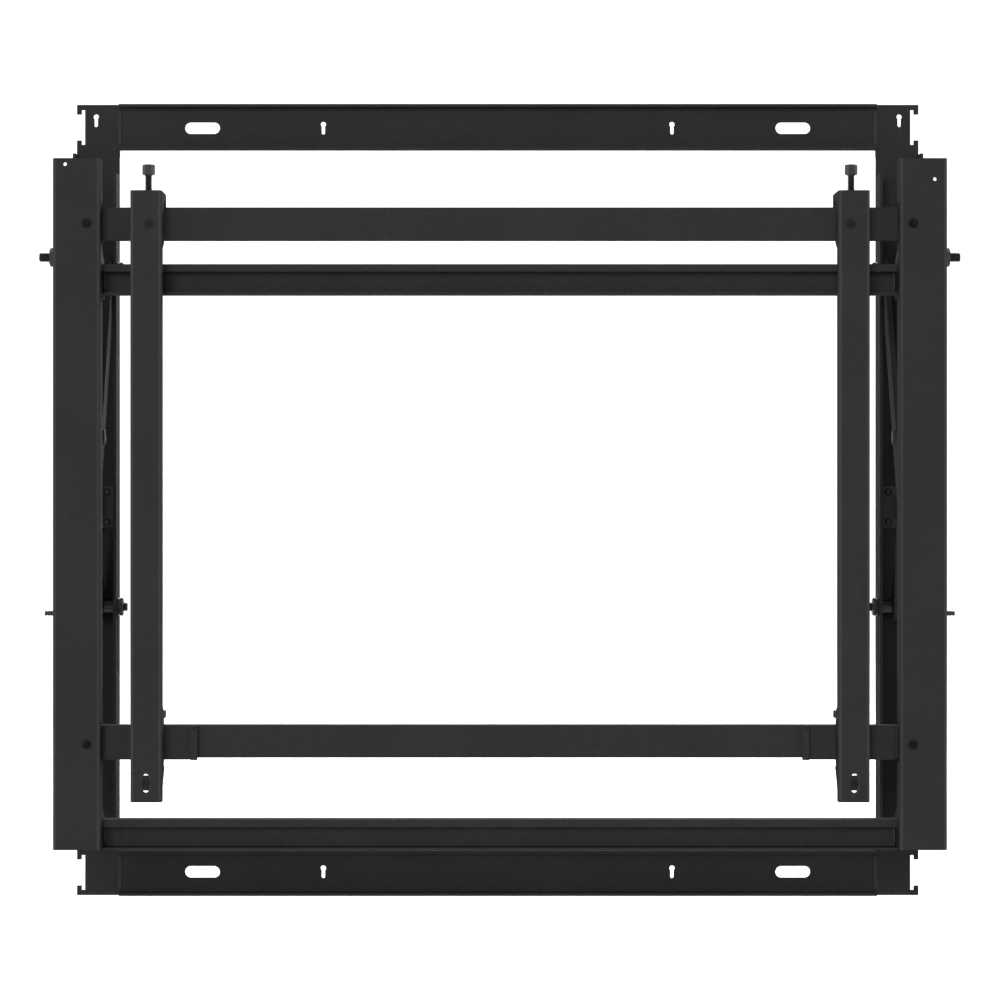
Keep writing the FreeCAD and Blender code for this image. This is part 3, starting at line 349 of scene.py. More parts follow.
def applied(piece, modifier):
    """Apply a modifier that was just set up on a piece."""
    select(piece)
    bpy.ops.object.modifier_apply(modifier=modifier.name)
    return piece


def combine(piece, tool, operation="DIFFERENCE"):
    """A boolean with a tool that is then thrown away."""
    modifier = piece.modifiers.new(operation.lower(), "BOOLEAN")
    modifier.operation = operation
    modifier.solver = "EXACT"
    modifier.object = tool
    applied(piece, modifier)
    bpy.data.objects.remove(tool)
    return piece


def bevel(piece, width, segments=2):
    modifier = piece.modifiers.new("bevel", "BEVEL")
    modifier.width = width
    modifier.segments = segments
    modifier.limit_method = "ANGLE"
    modifier.angle_limit = SHARP
    modifier.use_clamp_overlap = True
    return applied(piece, modifier)


def join(piece, *others):
    select(*others, piece)
    bpy.ops.object.join()
    return piece


# Shapes of the mount's fasteners and welds

def hex_head(flats, height, both_ends=False):
    """A head whose corners are turned off by a cone at zero, or at both ends."""
    piece = prism(flats, 0, height)
    corner = HEX_CORNER * flats
    slope = (corner - HEX_FACE * flats) * math.tan(HEX_SLOPE)
    tip = HEX_FACE * flats - PAST / math.tan(HEX_SLOPE)
    rings = [(tip, -PAST), (corner, slope)]
    if both_ends:
        rings += [(corner, height - slope), (tip, height + PAST)]
    else:
        rings += [(corner, height + PAST)]
    return combine(piece, turned("corner_cone", rings), "INTERSECT")


def thread(diameter, pitch, low, high):
    """A screw thread: one turn's profile swept by the Screw modifier, trimmed and pointed."""
    settings = bpy.context.scene.mount_pieces
    crest = diameter / 2
    root = crest - settings.depth_share * pitch
    # Radius, and height as a share of the pitch
    flanks = ((root, 0.25), (crest, 0.5625), (crest, 0.6875), (root, 1.0))
    bpy.ops.object.select_all(action="DESELECT")
    bpy.ops.mesh.primitive_plane_add(size=pitch, location=(0, 0, 0))
    piece = started("thread")
    edit(piece)
    bpy.ops.mesh.select_all(action="SELECT")
    bpy.ops.mesh.merge(type="CENTER")
    bpy.ops.transform.translate(value=(root, 0, low - SPARE_TURNS / 2 * pitch))
    place = Vector((root, 0, 0))
    for radius, share in flanks:
        step = Vector((radius, 0, share * pitch)) - place
        bpy.ops.mesh.extrude_region_move(TRANSFORM_OT_translate={"value": step})
        place += step
    leave()
    screw = piece.modifiers.new("screw", "SCREW")
    screw.axis = "Z"
    screw.angle = math.tau
    screw.screw_offset = pitch
    screw.iterations = math.ceil((high - low) / pitch) + SPARE_TURNS
    screw.steps = settings.steps
    screw.render_steps = settings.steps
    screw.use_merge_vertices = True
    screw.merge_threshold = MERGE
    screw.use_smooth_shade = False
    edit(applied(piece, screw))
    for height, up in ((low, False), (high, True)):
        bpy.ops.mesh.select_all(action="SELECT")
        bpy.ops.mesh.bisect(plane_co=(0, 0, height), plane_no=(0, 0, 1), use_fill=True,
                            clear_inner=not up, clear_outer=up, threshold=MERGE)
    bpy.ops.mesh.select_all(action="SELECT")
    bpy.ops.mesh.remove_doubles(threshold=MERGE)
    bpy.ops.mesh.normals_make_consistent(inside=False)
    leave()
    for vertex in piece.data.vertices:
        reach = vertex.co.xy.length
        allowed = root + (high - vertex.co.z)
        if reach > allowed:
            vertex.co.x *= allowed / reach
            vertex.co.y *= allowed / reach
    return piece


def cut_socket(piece, key, depth):
    """Cut a hexagon socket into the face at zero, with the drill's point at its bottom."""
    reach = DRILL_REACH * key
    tip = DRILL_TIP * reach
    bottom = depth + DRILL_SLOPE * (reach - tip)
    point = turned("point", [(reach, depth - PAST), (reach, depth), (tip, bottom)])
    return combine(combine(piece, prism(key, -PAST, depth)), point)


def socket_screw(diameter, pitch, rings, start, end, key, key_depth):
    """A screw with its head's face at zero: the turned head and neck, and a cut thread."""
    piece = cut_socket(turned("screw", rings), key, key_depth)
    return join(piece, thread(diameter, pitch, start, end))


def hex_bolt(box):
    """A bolt that lies along X in its box, with its head's outer face at zero."""
    settings = bpy.context.scene.mount_pieces
    diameter = settings.pivot_diameter
    start = box.x - settings.bolt_thread
    neck = turned("neck", [(diameter / 2, settings.bolt_head - settings.edge_break),
                           (diameter / 2, start + settings.coarse_pitch)])
    rod = thread(diameter, settings.coarse_pitch, start, box.x)
    return join(hex_head(box.y, settings.bolt_head), neck, rod)


def bore_tool(radius, height, entry):
    """A tool that bores a hole and breaks its edges at both ends."""
    return turned("bore", [(radius + entry + PAST, -PAST), (radius, entry),
                           (radius, height - entry), (radius + entry + PAST, height + PAST)])


def hex_nut(flats, hole, height):
    """A nut with turned corners and a plain bore, which shows no thread from outside."""
    piece = hex_head(flats, height, both_ends=True)
    return combine(piece, bore_tool(hole, height, bpy.context.scene.mount_pieces.edge_break))


def ring(box, hole, edge):
    """A washer or spacer that lies along X in its box, with a chamfer at both ends."""
    radius = box.z / 2
    piece = turned("ring", [(radius - edge, 0), (radius, edge),
                            (radius, box.x - edge), (radius - edge, box.x)])
    return combine(piece, bore_tool(hole, box.x, edge / 2))


def weld_bead(name, length, radius, pitch):
    """A bead along Z whose puddles overlap, thinner where it starts and stops."""
    count = round(length / pitch)
    rings = [(WELD_TIP * radius, 0)]
    for puddle in range(count):
        start = puddle * length / count
        fade = PUDDLE_FADE if puddle in (0, count - 1) else 1.0
        for share, swell in PUDDLE:
            rings.append((radius * swell * fade, start + share * length / count))
    return turned(name, [*rings, (WELD_TIP * radius, length)], WELD_ROUND)


# Dressing a modelled piece

def coat(piece, finish):
    """Give a piece one finish, by its name."""
    piece.data.materials.clear()
    piece.data.materials.append(bpy.data.materials[finish])


def dress(piece, place, body, finish, sharp=SHARP):
    """Put a modelled piece in its place, in its mesh, smooth and coat it, and let it ride."""
    edit(piece)
    bpy.ops.mesh.select_all(action="SELECT")
    bpy.ops.mesh.dissolve_degenerate(threshold=MERGE)
    leave()
    piece.data.transform(place)
    bpy.ops.object.shade_smooth_by_angle(angle=sharp)
    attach(piece, body)
    coat(piece, finish)


def place_copies(model, jobs, finish="zinc_plate"):
    """A copy of one modelled piece, with its own mesh, for each name, node and place."""
    for name, node, place in jobs:
        piece = model.copy()
        piece.data = model.data.copy()
        piece.name = name
        piece.data.name = name
        bpy.context.scene.collection.objects.link(piece)
        dress(piece, place, body_of(node), finish)
        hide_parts(node)
    bpy.data.objects.remove(model)


# Shader groups shared by the finishes

def socket_name(name):
    return name.replace("_", " ").title()


def scaled(color, share):
    return (*(channel * share for channel in color), 1.0)


class Tree:
    """Short ways to add and wire the nodes of a material or a group."""

    def __init__(self, tree):
        self.tree = tree
        self.tree.nodes.clear()

    def add(self, kind, **settings):
        node = self.tree.nodes.new(kind)
        for name, value in settings.items():
            setattr(node, name, value)
        return node

    def feed(self, value, socket):
        """Set a socket to a plain value, or link another node's output to it."""
        if isinstance(value, bpy.types.NodeSocket):
            self.tree.links.new(value, socket)
        else:
            socket.default_value = value

    def maths(self, operation, *values, clamp=False):
        node = self.add("ShaderNodeMath", operation=operation, use_clamp=clamp)
        for value, socket in zip(values, node.inputs):
            self.feed(value, socket)
        return node.outputs[0]

    def ramp(self, value, low, high, start=0.0, end=1.0):
        """Value from low to high becomes start to end, smoothly."""
        node = self.add("ShaderNodeMapRange", interpolation_type="SMOOTHSTEP")
        names = ("Value", "From Min", "From Max", "To Min", "To Max")
        for name, given in zip(names, (value, low, high, start, end)):
            self.feed(given, node.inputs[name])
        return node.outputs["Result"]

    def blend(self, share, first, second):
        node = self.add("ShaderNodeMix", data_type="RGBA")
        self.feed(share, node.inputs["Factor"])
        for given, name in ((first, "A"), (second, "B")):
            socket = next(s for s in node.inputs if s.name == name and s.type == "RGBA")
            self.feed(given, socket)
        return next(s for s in node.outputs if s.type == "RGBA")

    def mottle(self, tone, color, spread):
        """A colour that a tone from 0 to 1 makes a little darker or paler."""
        return self.blend(tone, scaled(color, 1 - spread), scaled(color, 1 + spread))

    def rough(self, tone, span, roughness, spread):
        """A roughness that a tone makes a little lower or higher."""
        fall, rise = spread
        return self.ramp(tone, *span, roughness - fall, roughness + rise)

    def tint(self, base, mask, share, over):
        """Lay another colour over the base where the mask is, at most by a share."""
        return self.blend(self.maths("MULTIPLY", mask, share), base, over)

    def noise(self, vector, scale, detail, roughness):
        node = self.add("ShaderNodeTexNoise")
        names = ("Vector", "Scale", "Detail", "Roughness")
        for name, given in zip(names, (vector, scale, detail, roughness)):
            self.feed(given, node.inputs[name])
        return node.outputs["Fac"]

    def patches(self, vector, pattern, span):
        """A mask from a noise pattern."""
        return self.ramp(self.noise(vector, *pattern), *span)

    def split(self, vector):
        node = self.add("ShaderNodeSeparateXYZ")
        self.feed(vector, node.inputs[0])
        return node.outputs

    def use(self, group, vector, **numbers):
        """Place a shared group, with this finish's own numbers; returns its outputs."""
        node = self.add("ShaderNodeGroup", node_tree=bpy.data.node_groups[group])
        self.feed(vector, node.inputs["Vector"])
        for name, value in numbers.items():
            self.feed(value, node.inputs[socket_name(name)])
        return node.outputs


def new_group(name, outputs, **numbers):
    """A group that reads a vector and named numbers; returns its tree, inputs and outputs."""
    group = bpy.data.node_groups.new(name, "ShaderNodeTree")
    tree = Tree(group)
    sockets = group.interface
    sockets.new_socket("Vector", in_out="INPUT", socket_type="NodeSocketVector")
    for number, value in numbers.items():
        socket = sockets.new_socket(
            socket_name(number), in_out="INPUT", socket_type="NodeSocketFloat")
        socket.default_value = value
    for output, kind in outputs.items():
        sockets.new_socket(output, in_out="OUTPUT", socket_type=f"NodeSocket{kind}")
    return tree, tree.add("NodeGroupInput").outputs, tree.add("NodeGroupOutput").inputs


def build_grain_group():
    """Powder grain over a longer orange peel; heights from 0 to 1 and a slow tone."""
    tree, given, result = new_group("coat_grain", {"Height": "Float", "Tone": "Float"},
                                    grain_scale=2600.0, peel_scale=520.0, peel_share=0.5)
    grain = tree.noise(given["Vector"], given["Grain Scale"], *GRAIN)
    peel = tree.noise(given["Vector"], given["Peel Scale"], *PEEL)
    rest = tree.maths("SUBTRACT", 1.0, given["Peel Share"])
    height = tree.maths("ADD", tree.maths("MULTIPLY", peel, given["Peel Share"]),
                        tree.maths("MULTIPLY", grain, rest))
    tree.feed(height, result["Height"])
    tree.feed(tree.noise(given["Vector"], *SLOW_TONE), result["Tone"])


def build_edge_group():
    """Softened edges: the rounded normal, and a broken mask where the surface turns."""
    tree, given, result = new_group(
        "edge_softening", {"Normal": "Vector", "Mask": "Float"}, radius=0.6 * MM)
    round_edge = tree.add("ShaderNodeBevel", samples=6)
    tree.feed(given["Radius"], round_edge.inputs["Radius"])
    dot = tree.add("ShaderNodeVectorMath", operation="DOT_PRODUCT")
    tree.feed(round_edge.outputs["Normal"], dot.inputs[0])
    tree.feed(tree.add("ShaderNodeNewGeometry").outputs["Normal"], dot.inputs[1])
    turn = tree.ramp(dot.outputs["Value"], *EDGE_TURN)
    chips = tree.patches(given["Vector"], *EDGE_CHIPS)
    tree.feed(round_edge.outputs["Normal"], result["Normal"])
    tree.feed(tree.maths("MULTIPLY", turn, chips, clamp=True), result["Mask"])


def build_bend_highlight_group():
    """A mask for the painted highlight on the round outside of a bend, from a normal that lies
    along no axis.
    """
    tree, given, result = new_group("painted_bend_highlight", {"Mask": "Float"})
    normal = tree.split(given["Vector"])
    along = [tree.maths("ABSOLUTE", normal[axis]) for axis in "XYZ"]
    most = tree.maths("MAXIMUM", tree.maths("MAXIMUM", along[0], along[1]), along[2])
    tree.feed(tree.ramp(most, *BEND_TURN), result["Mask"])


def build_dust_group():
    """Faint settled dust on faces that look up."""
    tree, given, result = new_group("settled_dust", {"Mask": "Float"})
    normal = tree.split(tree.add("ShaderNodeNewGeometry").outputs["Normal"])
    up = tree.ramp(normal["Z"], *FACING_UP)
    cloud = tree.patches(given["Vector"], *DUST_CLOUDS)
    tree.feed(tree.maths("MULTIPLY", up, cloud, clamp=True), result["Mask"])


def build_scratch_group():
    """Hairline handling marks that run mostly one way."""
    tree, given, result = new_group("handling_marks", {"Mask": "Float"}, amount=0.5)
    mapping = tree.add("ShaderNodeMapping")
    for name, value in (("Vector", given["Vector"]), ("Rotation", MARK_TURN),
                        ("Scale", MARK_STRETCH)):
        tree.feed(value, mapping.inputs[name])
    line = tree.patches(mapping.outputs["Vector"], *MARK_LINES)
    mark = tree.maths("MULTIPLY", line, tree.patches(given["Vector"], *MARK_PATCHES))
    tree.feed(tree.maths("MULTIPLY", mark, given["Amount"], clamp=True), result["Mask"])


def build_track_group():
    """The matt track that a washer leaves round a pivot or along a slot, seen along X."""
    tree, given, result = new_group("washer_track", {"Mask": "Float"}, depth=0.0, height=0.0,
                                    half_travel=0.0, reach=8.0 * MM)
    place = tree.split(given["Vector"])
    across = tree.maths("SUBTRACT", place["Y"], given["Depth"])
    rise = tree.maths("SUBTRACT", place["Z"], given["Height"])
    past = tree.maths("SUBTRACT", tree.maths("ABSOLUTE", rise), given["Half Travel"])
    past = tree.maths("MAXIMUM", past, 0.0)
    squares = tree.maths("ADD", tree.maths("POWER", across, 2.0), tree.maths("POWER", past, 2.0))
    away = tree.maths("DIVIDE", tree.maths("SQRT", squares), given["Reach"])
    inside = tree.ramp(away, *TRACK_RIM)
    worn = tree.patches(given["Vector"], *TRACK_GRAIN)
    tree.feed(tree.maths("MULTIPLY", inside, worn, clamp=True), result["Mask"])


# Finishes

def new_finish(name):
    """A material with a Principled shader; returns its tree, shader and object coordinates."""
    material = bpy.data.materials.new(name)
    material.use_nodes = True
    tree = Tree(material.node_tree)
    shader = tree.add("ShaderNodeBsdfPrincipled")
    output = tree.add("ShaderNodeOutputMaterial")
    tree.feed(shader.outputs["BSDF"], output.inputs["Surface"])
    return tree, shader.inputs, tree.add("ShaderNodeTexCoord").outputs["Object"]


def surface(tree, shader, base, rough, height, normal, distance):
    """Wire the colour, the roughness and the grain over the rounded normal."""
    bump = tree.add("ShaderNodeBump")
    for name, value in (("Strength", 1.0), ("Distance", distance), ("Height", height),
                        ("Normal", normal)):
        tree.feed(value, bump.inputs[name])
    tree.feed(base, shader["Base Color"])
    tree.feed(rough, shader["Roughness"])
    tree.feed(bump.outputs["Normal"], shader["Normal"])


def coat_finish(name, tracks=(), painted_bend=True):
    """Fine black powder coat with a painted highlight on bends, and tracks where washers turn or
    slide on it.
    """
    settings = bpy.context.scene.mount_finish
    color = settings.coat_color
    tree, shader, vector = new_finish(name)
    grain = tree.use("coat_grain", vector, peel_share=0.36)
    edge = tree.use("edge_softening", vector, radius=settings.edge_radius)
    dust = tree.use("settled_dust", vector)["Mask"]
    marks = tree.use("handling_marks", vector, amount=settings.wear)["Mask"]
    slow = tree.maths("MULTIPLY", tree.ramp(grain["Tone"], *TONE_SPAN), SLOW_SHARE)
    fine = tree.maths("MULTIPLY", tree.ramp(grain["Height"], *GRAIN_SPAN), 1 - SLOW_SHARE)
    base = tree.mottle(tree.maths("ADD", slow, fine), color, COAT_SPREAD)
    rough = tree.rough(grain["Tone"], WIDE_SPAN, settings.coat_roughness, COAT_ROUGHNESS)
    highlight_and_wear_masks = [(edge["Mask"], COAT_EDGE), (marks, COAT_MARK)]
    # Paint a highlight on the round of each bend, paler than the coat
    if painted_bend:
        normal = tree.add("ShaderNodeTexCoord").outputs["Normal"]
        highlight_and_wear_masks.insert(0, (tree.use("painted_bend_highlight", normal)["Mask"], BEND_HIGHLIGHT))
    for mask, (share, paler) in highlight_and_wear_masks:
        base = tree.tint(base, mask, share, scaled(color, paler))
    base = tree.tint(base, dust, settings.dust, scaled(settings.dust_color, 1.0))
    share, paler = COAT_TRACK
    for numbers in tracks:
        track = tree.use("washer_track", vector, **numbers)["Mask"]
        base = tree.tint(base, track, share, scaled(color, paler))
        rough = tree.maths("SUBTRACT", rough, tree.maths("MULTIPLY", track, TRACK_POLISH))
    shader["Specular IOR Level"].default_value = settings.coat_gloss
    surface(tree, shader, base, rough, grain["Height"], edge["Normal"], settings.grain_depth)


def metal_finish(name, tone=1.0, roughness=0.33):
    """Black zinc on steel: dark and metallic, a little paler on worn edges."""
    settings = bpy.context.scene.mount_finish
    color = scaled(settings.zinc_color, tone)[:3]
    tree, shader, vector = new_finish(name)
    grain = tree.use(
        "coat_grain", vector, grain_scale=3600.0, peel_scale=900.0, peel_share=0.35)
    edge = tree.use("edge_softening", vector, radius=settings.edge_radius / 3)
    marks = tree.use("handling_marks", vector, amount=settings.wear)["Mask"]
    base = tree.mottle(tree.ramp(grain["Tone"], *TONE_SPAN), color, METAL_SPREAD)
    worn = tree.maths("ADD", edge["Mask"], marks, clamp=True)
    share, paler = METAL_WEAR
    base = tree.tint(base, worn, share, scaled(color, paler))
    rough = tree.rough(grain["Height"], TONE_SPAN, roughness, METAL_ROUGHNESS)
    shader["Metallic"].default_value = 1.0
    surface(tree, shader, base, rough, grain["Height"], edge["Normal"],
            settings.grain_depth / 4)


def smooth_finish(name, tone, roughness, grain_scale, gloss=0.4):
    """Moulded nylon, the latches' finer coat or dull zinc, with a short even grain."""
    settings = bpy.context.scene.mount_finish
    color = scaled(settings.nylon_color, tone)[:3]
    tree, shader, vector = new_finish(name)
    grain = tree.use(
        "coat_grain", vector, grain_scale=grain_scale, peel_scale=700.0, peel_share=0.2)
    edge = tree.use("edge_softening", vector, radius=settings.edge_radius / 2)
    base = tree.mottle(tree.ramp(grain["Tone"], *TONE_SPAN), color, SMOOTH_SPREAD)
    share, paler = SMOOTH_EDGE
    base = tree.tint(base, edge["Mask"], share, scaled(color, paler))
    rough = tree.rough(grain["Tone"], TONE_SPAN, roughness, SMOOTH_ROUGHNESS)
    shader["Specular IOR Level"].default_value = gloss
    surface(tree, shader, base, rough, grain["Height"], edge["Normal"],
            settings.grain_depth / 2)


def looking_rays(tree):
    """One for the camera, glossy and transmission rays, which show the background."""
    rays = tree.add("ShaderNodeLightPath").outputs
    seen = tree.maths("MAXIMUM", rays["Is Camera Ray"], rays["Is Glossy Ray"])
    return tree.maths("MAXIMUM", seen, rays["Is Transmission Ray"])


def pale_finish(name):
    """A pale floor that fades to white and takes a soft shadow near the mount."""
    settings = bpy.context.scene.mount_stage
    material = bpy.data.materials.new(name)
    material.use_nodes = True
    tree = Tree(material.node_tree)
    output = tree.add("ShaderNodeOutputMaterial")
    paint = tree.add("ShaderNodeBsdfDiffuse")
    paint.inputs["Color"].default_value = scaled(settings.floor_color, 1.0)
    away = tree.add("ShaderNodeVectorMath", operation="LENGTH")
    tree.feed(tree.add("ShaderNodeTexCoord").outputs["Object"], away.inputs[0])
    lift = tree.ramp(away.outputs["Value"], settings.shadow_reach,
                     FADE_SPAN * settings.shadow_reach, settings.floor_glow,
                     settings.backdrop_glow)
    glow = tree.add("ShaderNodeEmission")
    tree.feed(tree.maths("MULTIPLY", looking_rays(tree), lift), glow.inputs["Strength"])
    sum_of_both = tree.add("ShaderNodeAddShader")
    tree.feed(paint.outputs[0], sum_of_both.inputs[0])
    tree.feed(glow.outputs[0], sum_of_both.inputs[1])
    tree.feed(sum_of_both.outputs[0], output.inputs["Surface"])
    return material


# Settings

class MountFinish(PropertyGroup):
    """Colours and textures of the finishes"""
    coat_color: FloatVectorProperty(
        name="Coat", description="Colour of the powder coat", subtype="COLOR", size=3,
        default=(0.0225, 0.0225, 0.0229), min=0.0, max=1.0)
    coat_roughness: FloatProperty(
        name="Coat roughness", description="How matt the powder coat is", default=0.84,
        min=0.0, max=1.0, subtype="FACTOR")
    coat_gloss: FloatProperty(
        name="Coat gloss", description="Strength of the powder coat's reflection",
        default=0.02, min=0.0, max=1.0, subtype="FACTOR")
    grain_depth: FloatProperty(
        name="Grain depth", description="Depth of the powder's grain", default=0.07 * MM,
        min=0.0, unit="LENGTH")
    edge_radius: FloatProperty(
        name="Edge radius", description="Softness of the cut edges under the coat",
        default=0.6 * MM, min=0.0, unit="LENGTH")
    wear: FloatProperty(
        name="Wear", description="Amount of handling marks", default=0.5, min=0.0, max=1.0,
        subtype="FACTOR")
    dust: FloatProperty(
        name="Dust", description="Amount of dust on faces that look up", default=0.10,
        min=0.0, max=1.0, subtype="FACTOR")
    dust_color: FloatVectorProperty(
        name="Dust colour", description="Colour of settled dust", subtype="COLOR", size=3,
        default=(0.16, 0.155, 0.15), min=0.0, max=1.0)
    zinc_color: FloatVectorProperty(
        name="Zinc", description="Colour of the screws, nuts and pins", subtype="COLOR", size=3,
        default=(0.046, 0.046, 0.048), min=0.0, max=1.0)
    nylon_color: FloatVectorProperty(
        name="Nylon", description="Colour of the latch's plastic", subtype="COLOR", size=3,
        default=(0.016, 0.016, 0.017), min=0.0, max=1.0)


class MountPieces(PropertyGroup):
    """Sizes of the modelled pieces"""
    coarse_pitch: FloatProperty(
        name="M8 pitch", description="Pitch of the depth screws and pivot bolts",
        default=1.25 * MM, min=0.1 * MM, unit="LENGTH")
    height_pitch: FloatProperty(
        name="M6 pitch", description="Pitch of the height screws", default=1.0 * MM,
        min=0.1 * MM, unit="LENGTH")
    guide_pitch: FloatProperty(
        name="M5 pitch", description="Pitch of the guide screws", default=0.8 * MM,
        min=0.1 * MM, unit="LENGTH")
    lock_pitch: FloatProperty(
        name="M4 pitch", description="Pitch of the lock screws", default=0.7 * MM,
        min=0.1 * MM, unit="LENGTH")
    depth_share: FloatProperty(
        name="Thread depth", description="Depth of the thread as a share of its pitch",
        default=0.6134, min=0.1, max=0.8, subtype="FACTOR")
    steps: IntProperty(
        name="Steps", description="Faces round one turn of thread", default=28, min=8, max=64)
    key_size: FloatProperty(
        name="Key", description="Width of the hexagon socket in the depth and height screws",
        default=5.0 * MM, min=1.0 * MM, unit="LENGTH")
    key_depth: FloatProperty(
        name="Key depth", description="Depth of the hexagon socket", default=4.3 * MM,
        min=1.0 * MM, unit="LENGTH")
    edge_break: FloatProperty(
        name="Edge break", description="Chamfer on turned edges", default=0.4 * MM,
        min=0.05 * MM, unit="LENGTH")
    pivot_diameter: FloatProperty(
        name="M8", description="Diameter of the pivots and depth screws", default=8.0 * MM,
        unit="LENGTH")
    running_gap: FloatProperty(
        name="Running gap", description="Gap between a shank and its hole",
        default=0.05 * MM, unit="LENGTH")
    bolt_head: FloatProperty(
        name="Bolt head", description="Height of the pivot bolts' heads", default=3.8 * MM,
        unit="LENGTH")
    bolt_thread: FloatProperty(
        name="Bolt thread", description="Length of thread at a bolt's tip",
        default=12.0 * MM, unit="LENGTH")
    rivet_head: FloatProperty(
        name="Rivet head", description="Height of the heads of the rivets and slide pins",
        default=2.0 * MM, unit="LENGTH")
    pin_tail: FloatProperty(
        name="Pin tail", description="Diameter of the slide pins' tails", default=3.8 * MM,
        unit="LENGTH")
    pin_tail_length: FloatProperty(
        name="Pin tail length", description="Length of the slide pins' tails",
        default=8.8 * MM, unit="LENGTH")
    pin_groove: FloatProperty(
        name="Pin groove", description="Distance of the groove from the pin's end",
        default=2.6 * MM, unit="LENGTH")
    collar_start: FloatProperty(
        name="Collar start", description="Distance of a depth screw's collar from its face",
        default=2.2 * MM, unit="LENGTH")
    collar_height: FloatProperty(
        name="Collar height", description="Thickness of a depth screw's collar",
        default=2.5 * MM, unit="LENGTH")
    height_diameter: FloatProperty(
        name="M6", description="Diameter of the height screws", default=5.9 * MM,
        unit="LENGTH")
    height_head: FloatProperty(
        name="Height screw head", description="Height of the height screws' heads",
        default=8.4 * MM, unit="LENGTH")
    guide_diameter: FloatProperty(
        name="M5", description="Diameter of the guide screws", default=5.0 * MM,
        unit="LENGTH")
    guide_key: FloatProperty(
        name="Guide key", description="Width of the guide screws' sockets",
        default=3.0 * MM, unit="LENGTH")
    lock_diameter: FloatProperty(
        name="M4", description="Diameter of the lock screws", default=4.0 * MM,
        unit="LENGTH")
    lock_key: FloatProperty(
        name="Lock key", description="Width of the lock screws' sockets",
        default=2.5 * MM, unit="LENGTH")
    small_key_depth: FloatProperty(
        name="Small key depth", description="Depth of the sockets in the small screws",
        default=1.7 * MM, unit="LENGTH")
    latch_plate: FloatProperty(
        name="Latch plate", description="Thickness of a latch's base plate",
        default=2.0 * MM, unit="LENGTH")
    latch_width: FloatProperty(
        name="Latch width", description="Width of a latch's body", default=11.0 * MM,
        unit="LENGTH")
    latch_height: FloatProperty(
        name="Latch height", description="Height of a latch's body", default=28.0 * MM,
        unit="LENGTH")
    latch_margin: FloatProperty(
        name="Latch margin", description="Margin round the panels sunk into a latch's sides",
        default=2.2 * MM, unit="LENGTH")
    latch_recess: FloatProperty(
        name="Latch recess", description="Depth of the panels sunk into a latch's sides",
        default=0.5 * MM, unit="LENGTH")
    latch_bore: FloatProperty(
        name="Latch bore", description="Diameter of the plunger's bore", default=6.1 * MM,
        unit="LENGTH")
    latch_bore_depth: FloatProperty(
        name="Latch bore depth", description="Depth of the plunger's bore",
        default=26.0 * MM, unit="LENGTH")
    plunger_cap: FloatProperty(
        name="Plunger cap", description="Thickness of the plunger's cap",
        default=2.0 * MM, unit="LENGTH")
    plate_screw: FloatProperty(
        name="Plate screw", description="Diameter of the latch plate's screw heads",
        default=6.0 * MM, unit="LENGTH")
    plate_screw_rise: FloatProperty(
        name="Plate screw rise", description="Height of the latch plate's screw heads",
        default=2.0 * MM, unit="LENGTH")
    weld_size: FloatProperty(
        name="Weld", description="Radius of the weld beads", default=1.8 * MM,
        unit="LENGTH")
    weld_pitch: FloatProperty(
        name="Weld pitch", description="Distance between a weld's puddles",
        default=1.7 * MM, unit="LENGTH")
    rail_sheet: FloatProperty(
        name="Rail sheet", description="Sheet of the cross rails", default=2.0 * MM,
        unit="LENGTH")
    wall_sheet: FloatProperty(
        name="Wall sheet", description="Sheet of the wall rails", default=2.5 * MM,
        unit="LENGTH")


class MountStage(PropertyGroup):
    """Floor, lights and camera"""
    floor_drop: FloatProperty(
        name="Floor drop", description="How far below the wall frame the floor lies",
        default=0.22, min=0.0, unit="LENGTH")
    floor_color: FloatVectorProperty(
        name="Floor", description="Colour of the floor and backdrop", subtype="COLOR", size=3,
        default=(0.92, 0.92, 0.92), min=0.0, max=1.0)
    camera_side: FloatProperty(
        name="Camera side", description="Camera's distance to the right of the mount's middle",
        default=-26.4 * MM, unit="LENGTH")
    camera_reach: FloatProperty(
        name="Camera distance", description="Camera's distance from the front frame",
        default=3.0, min=0.5, unit="LENGTH")
    lens: FloatProperty(
        name="Lens", description="Focal length of the camera in millimetres", default=135.0,
        min=10.0)
    shift: FloatProperty(
        name="Shift", description="Sideways shift that frames the photograph", default=0.033)
    key_power: FloatProperty(
        name="Key light", description="Power of the soft light in front, a little to the left",
        default=505.0, min=0.0, unit="POWER")
    side_power: FloatProperty(
        name="Side lights", description="Power of each of the two soft lights at the sides",
        default=120.0, min=0.0, unit="POWER")
    back_power: FloatProperty(
        name="Back light", description="Power of the soft light behind", default=250.0,
        min=0.0, unit="POWER")
    backdrop_glow: FloatProperty(
        name="Backdrop", description="White that the camera sees over the backdrop's own shade",
        default=0.55, min=0.0, max=1.0)
    floor_glow: FloatProperty(
        name="Floor glow", description="White that the camera sees over the floor's own shade",
        default=0.2, min=0.0, max=1.0)
    shadow_reach: FloatProperty(
        name="Shadow reach", description="How far from the mount the floor starts to fade to white",
        default=1.1, min=0.1, unit="LENGTH")
    world_level: FloatProperty(
        name="World", description="Strength of the even light from all round", default=0.3,
        min=0.0)


# Operators, one for each group of pieces

class MOUNT_OT_finishes(Operator):
    """Build the shader groups and the finishes"""
    bl_idname = "mount.finishes"
    bl_label = "Make finishes"

    def execute(self, context):
        build_grain_group()
        build_edge_group()
        build_bend_highlight_group()
        build_dust_group()
        build_scratch_group()
        build_track_group()
        coat_finish("plain_coat")
        metal_finish("zinc_plate")
        # Screws' steel, darker than the zinc: a dark finish, and painted shade for the shadowed
        # marks at their heads
        metal_finish("dark_steel_painted_shade", tone=0.42, roughness=0.38)
        smooth_finish("dull_zinc", tone=1.9, roughness=0.62, grain_scale=1500.0, gloss=0.1)
        smooth_finish("latch_coat", tone=1.5, roughness=0.52, grain_scale=1500.0)
        smooth_finish("smooth_nylon", tone=0.8, roughness=0.34, grain_scale=2600.0)
        return {"FINISHED"}


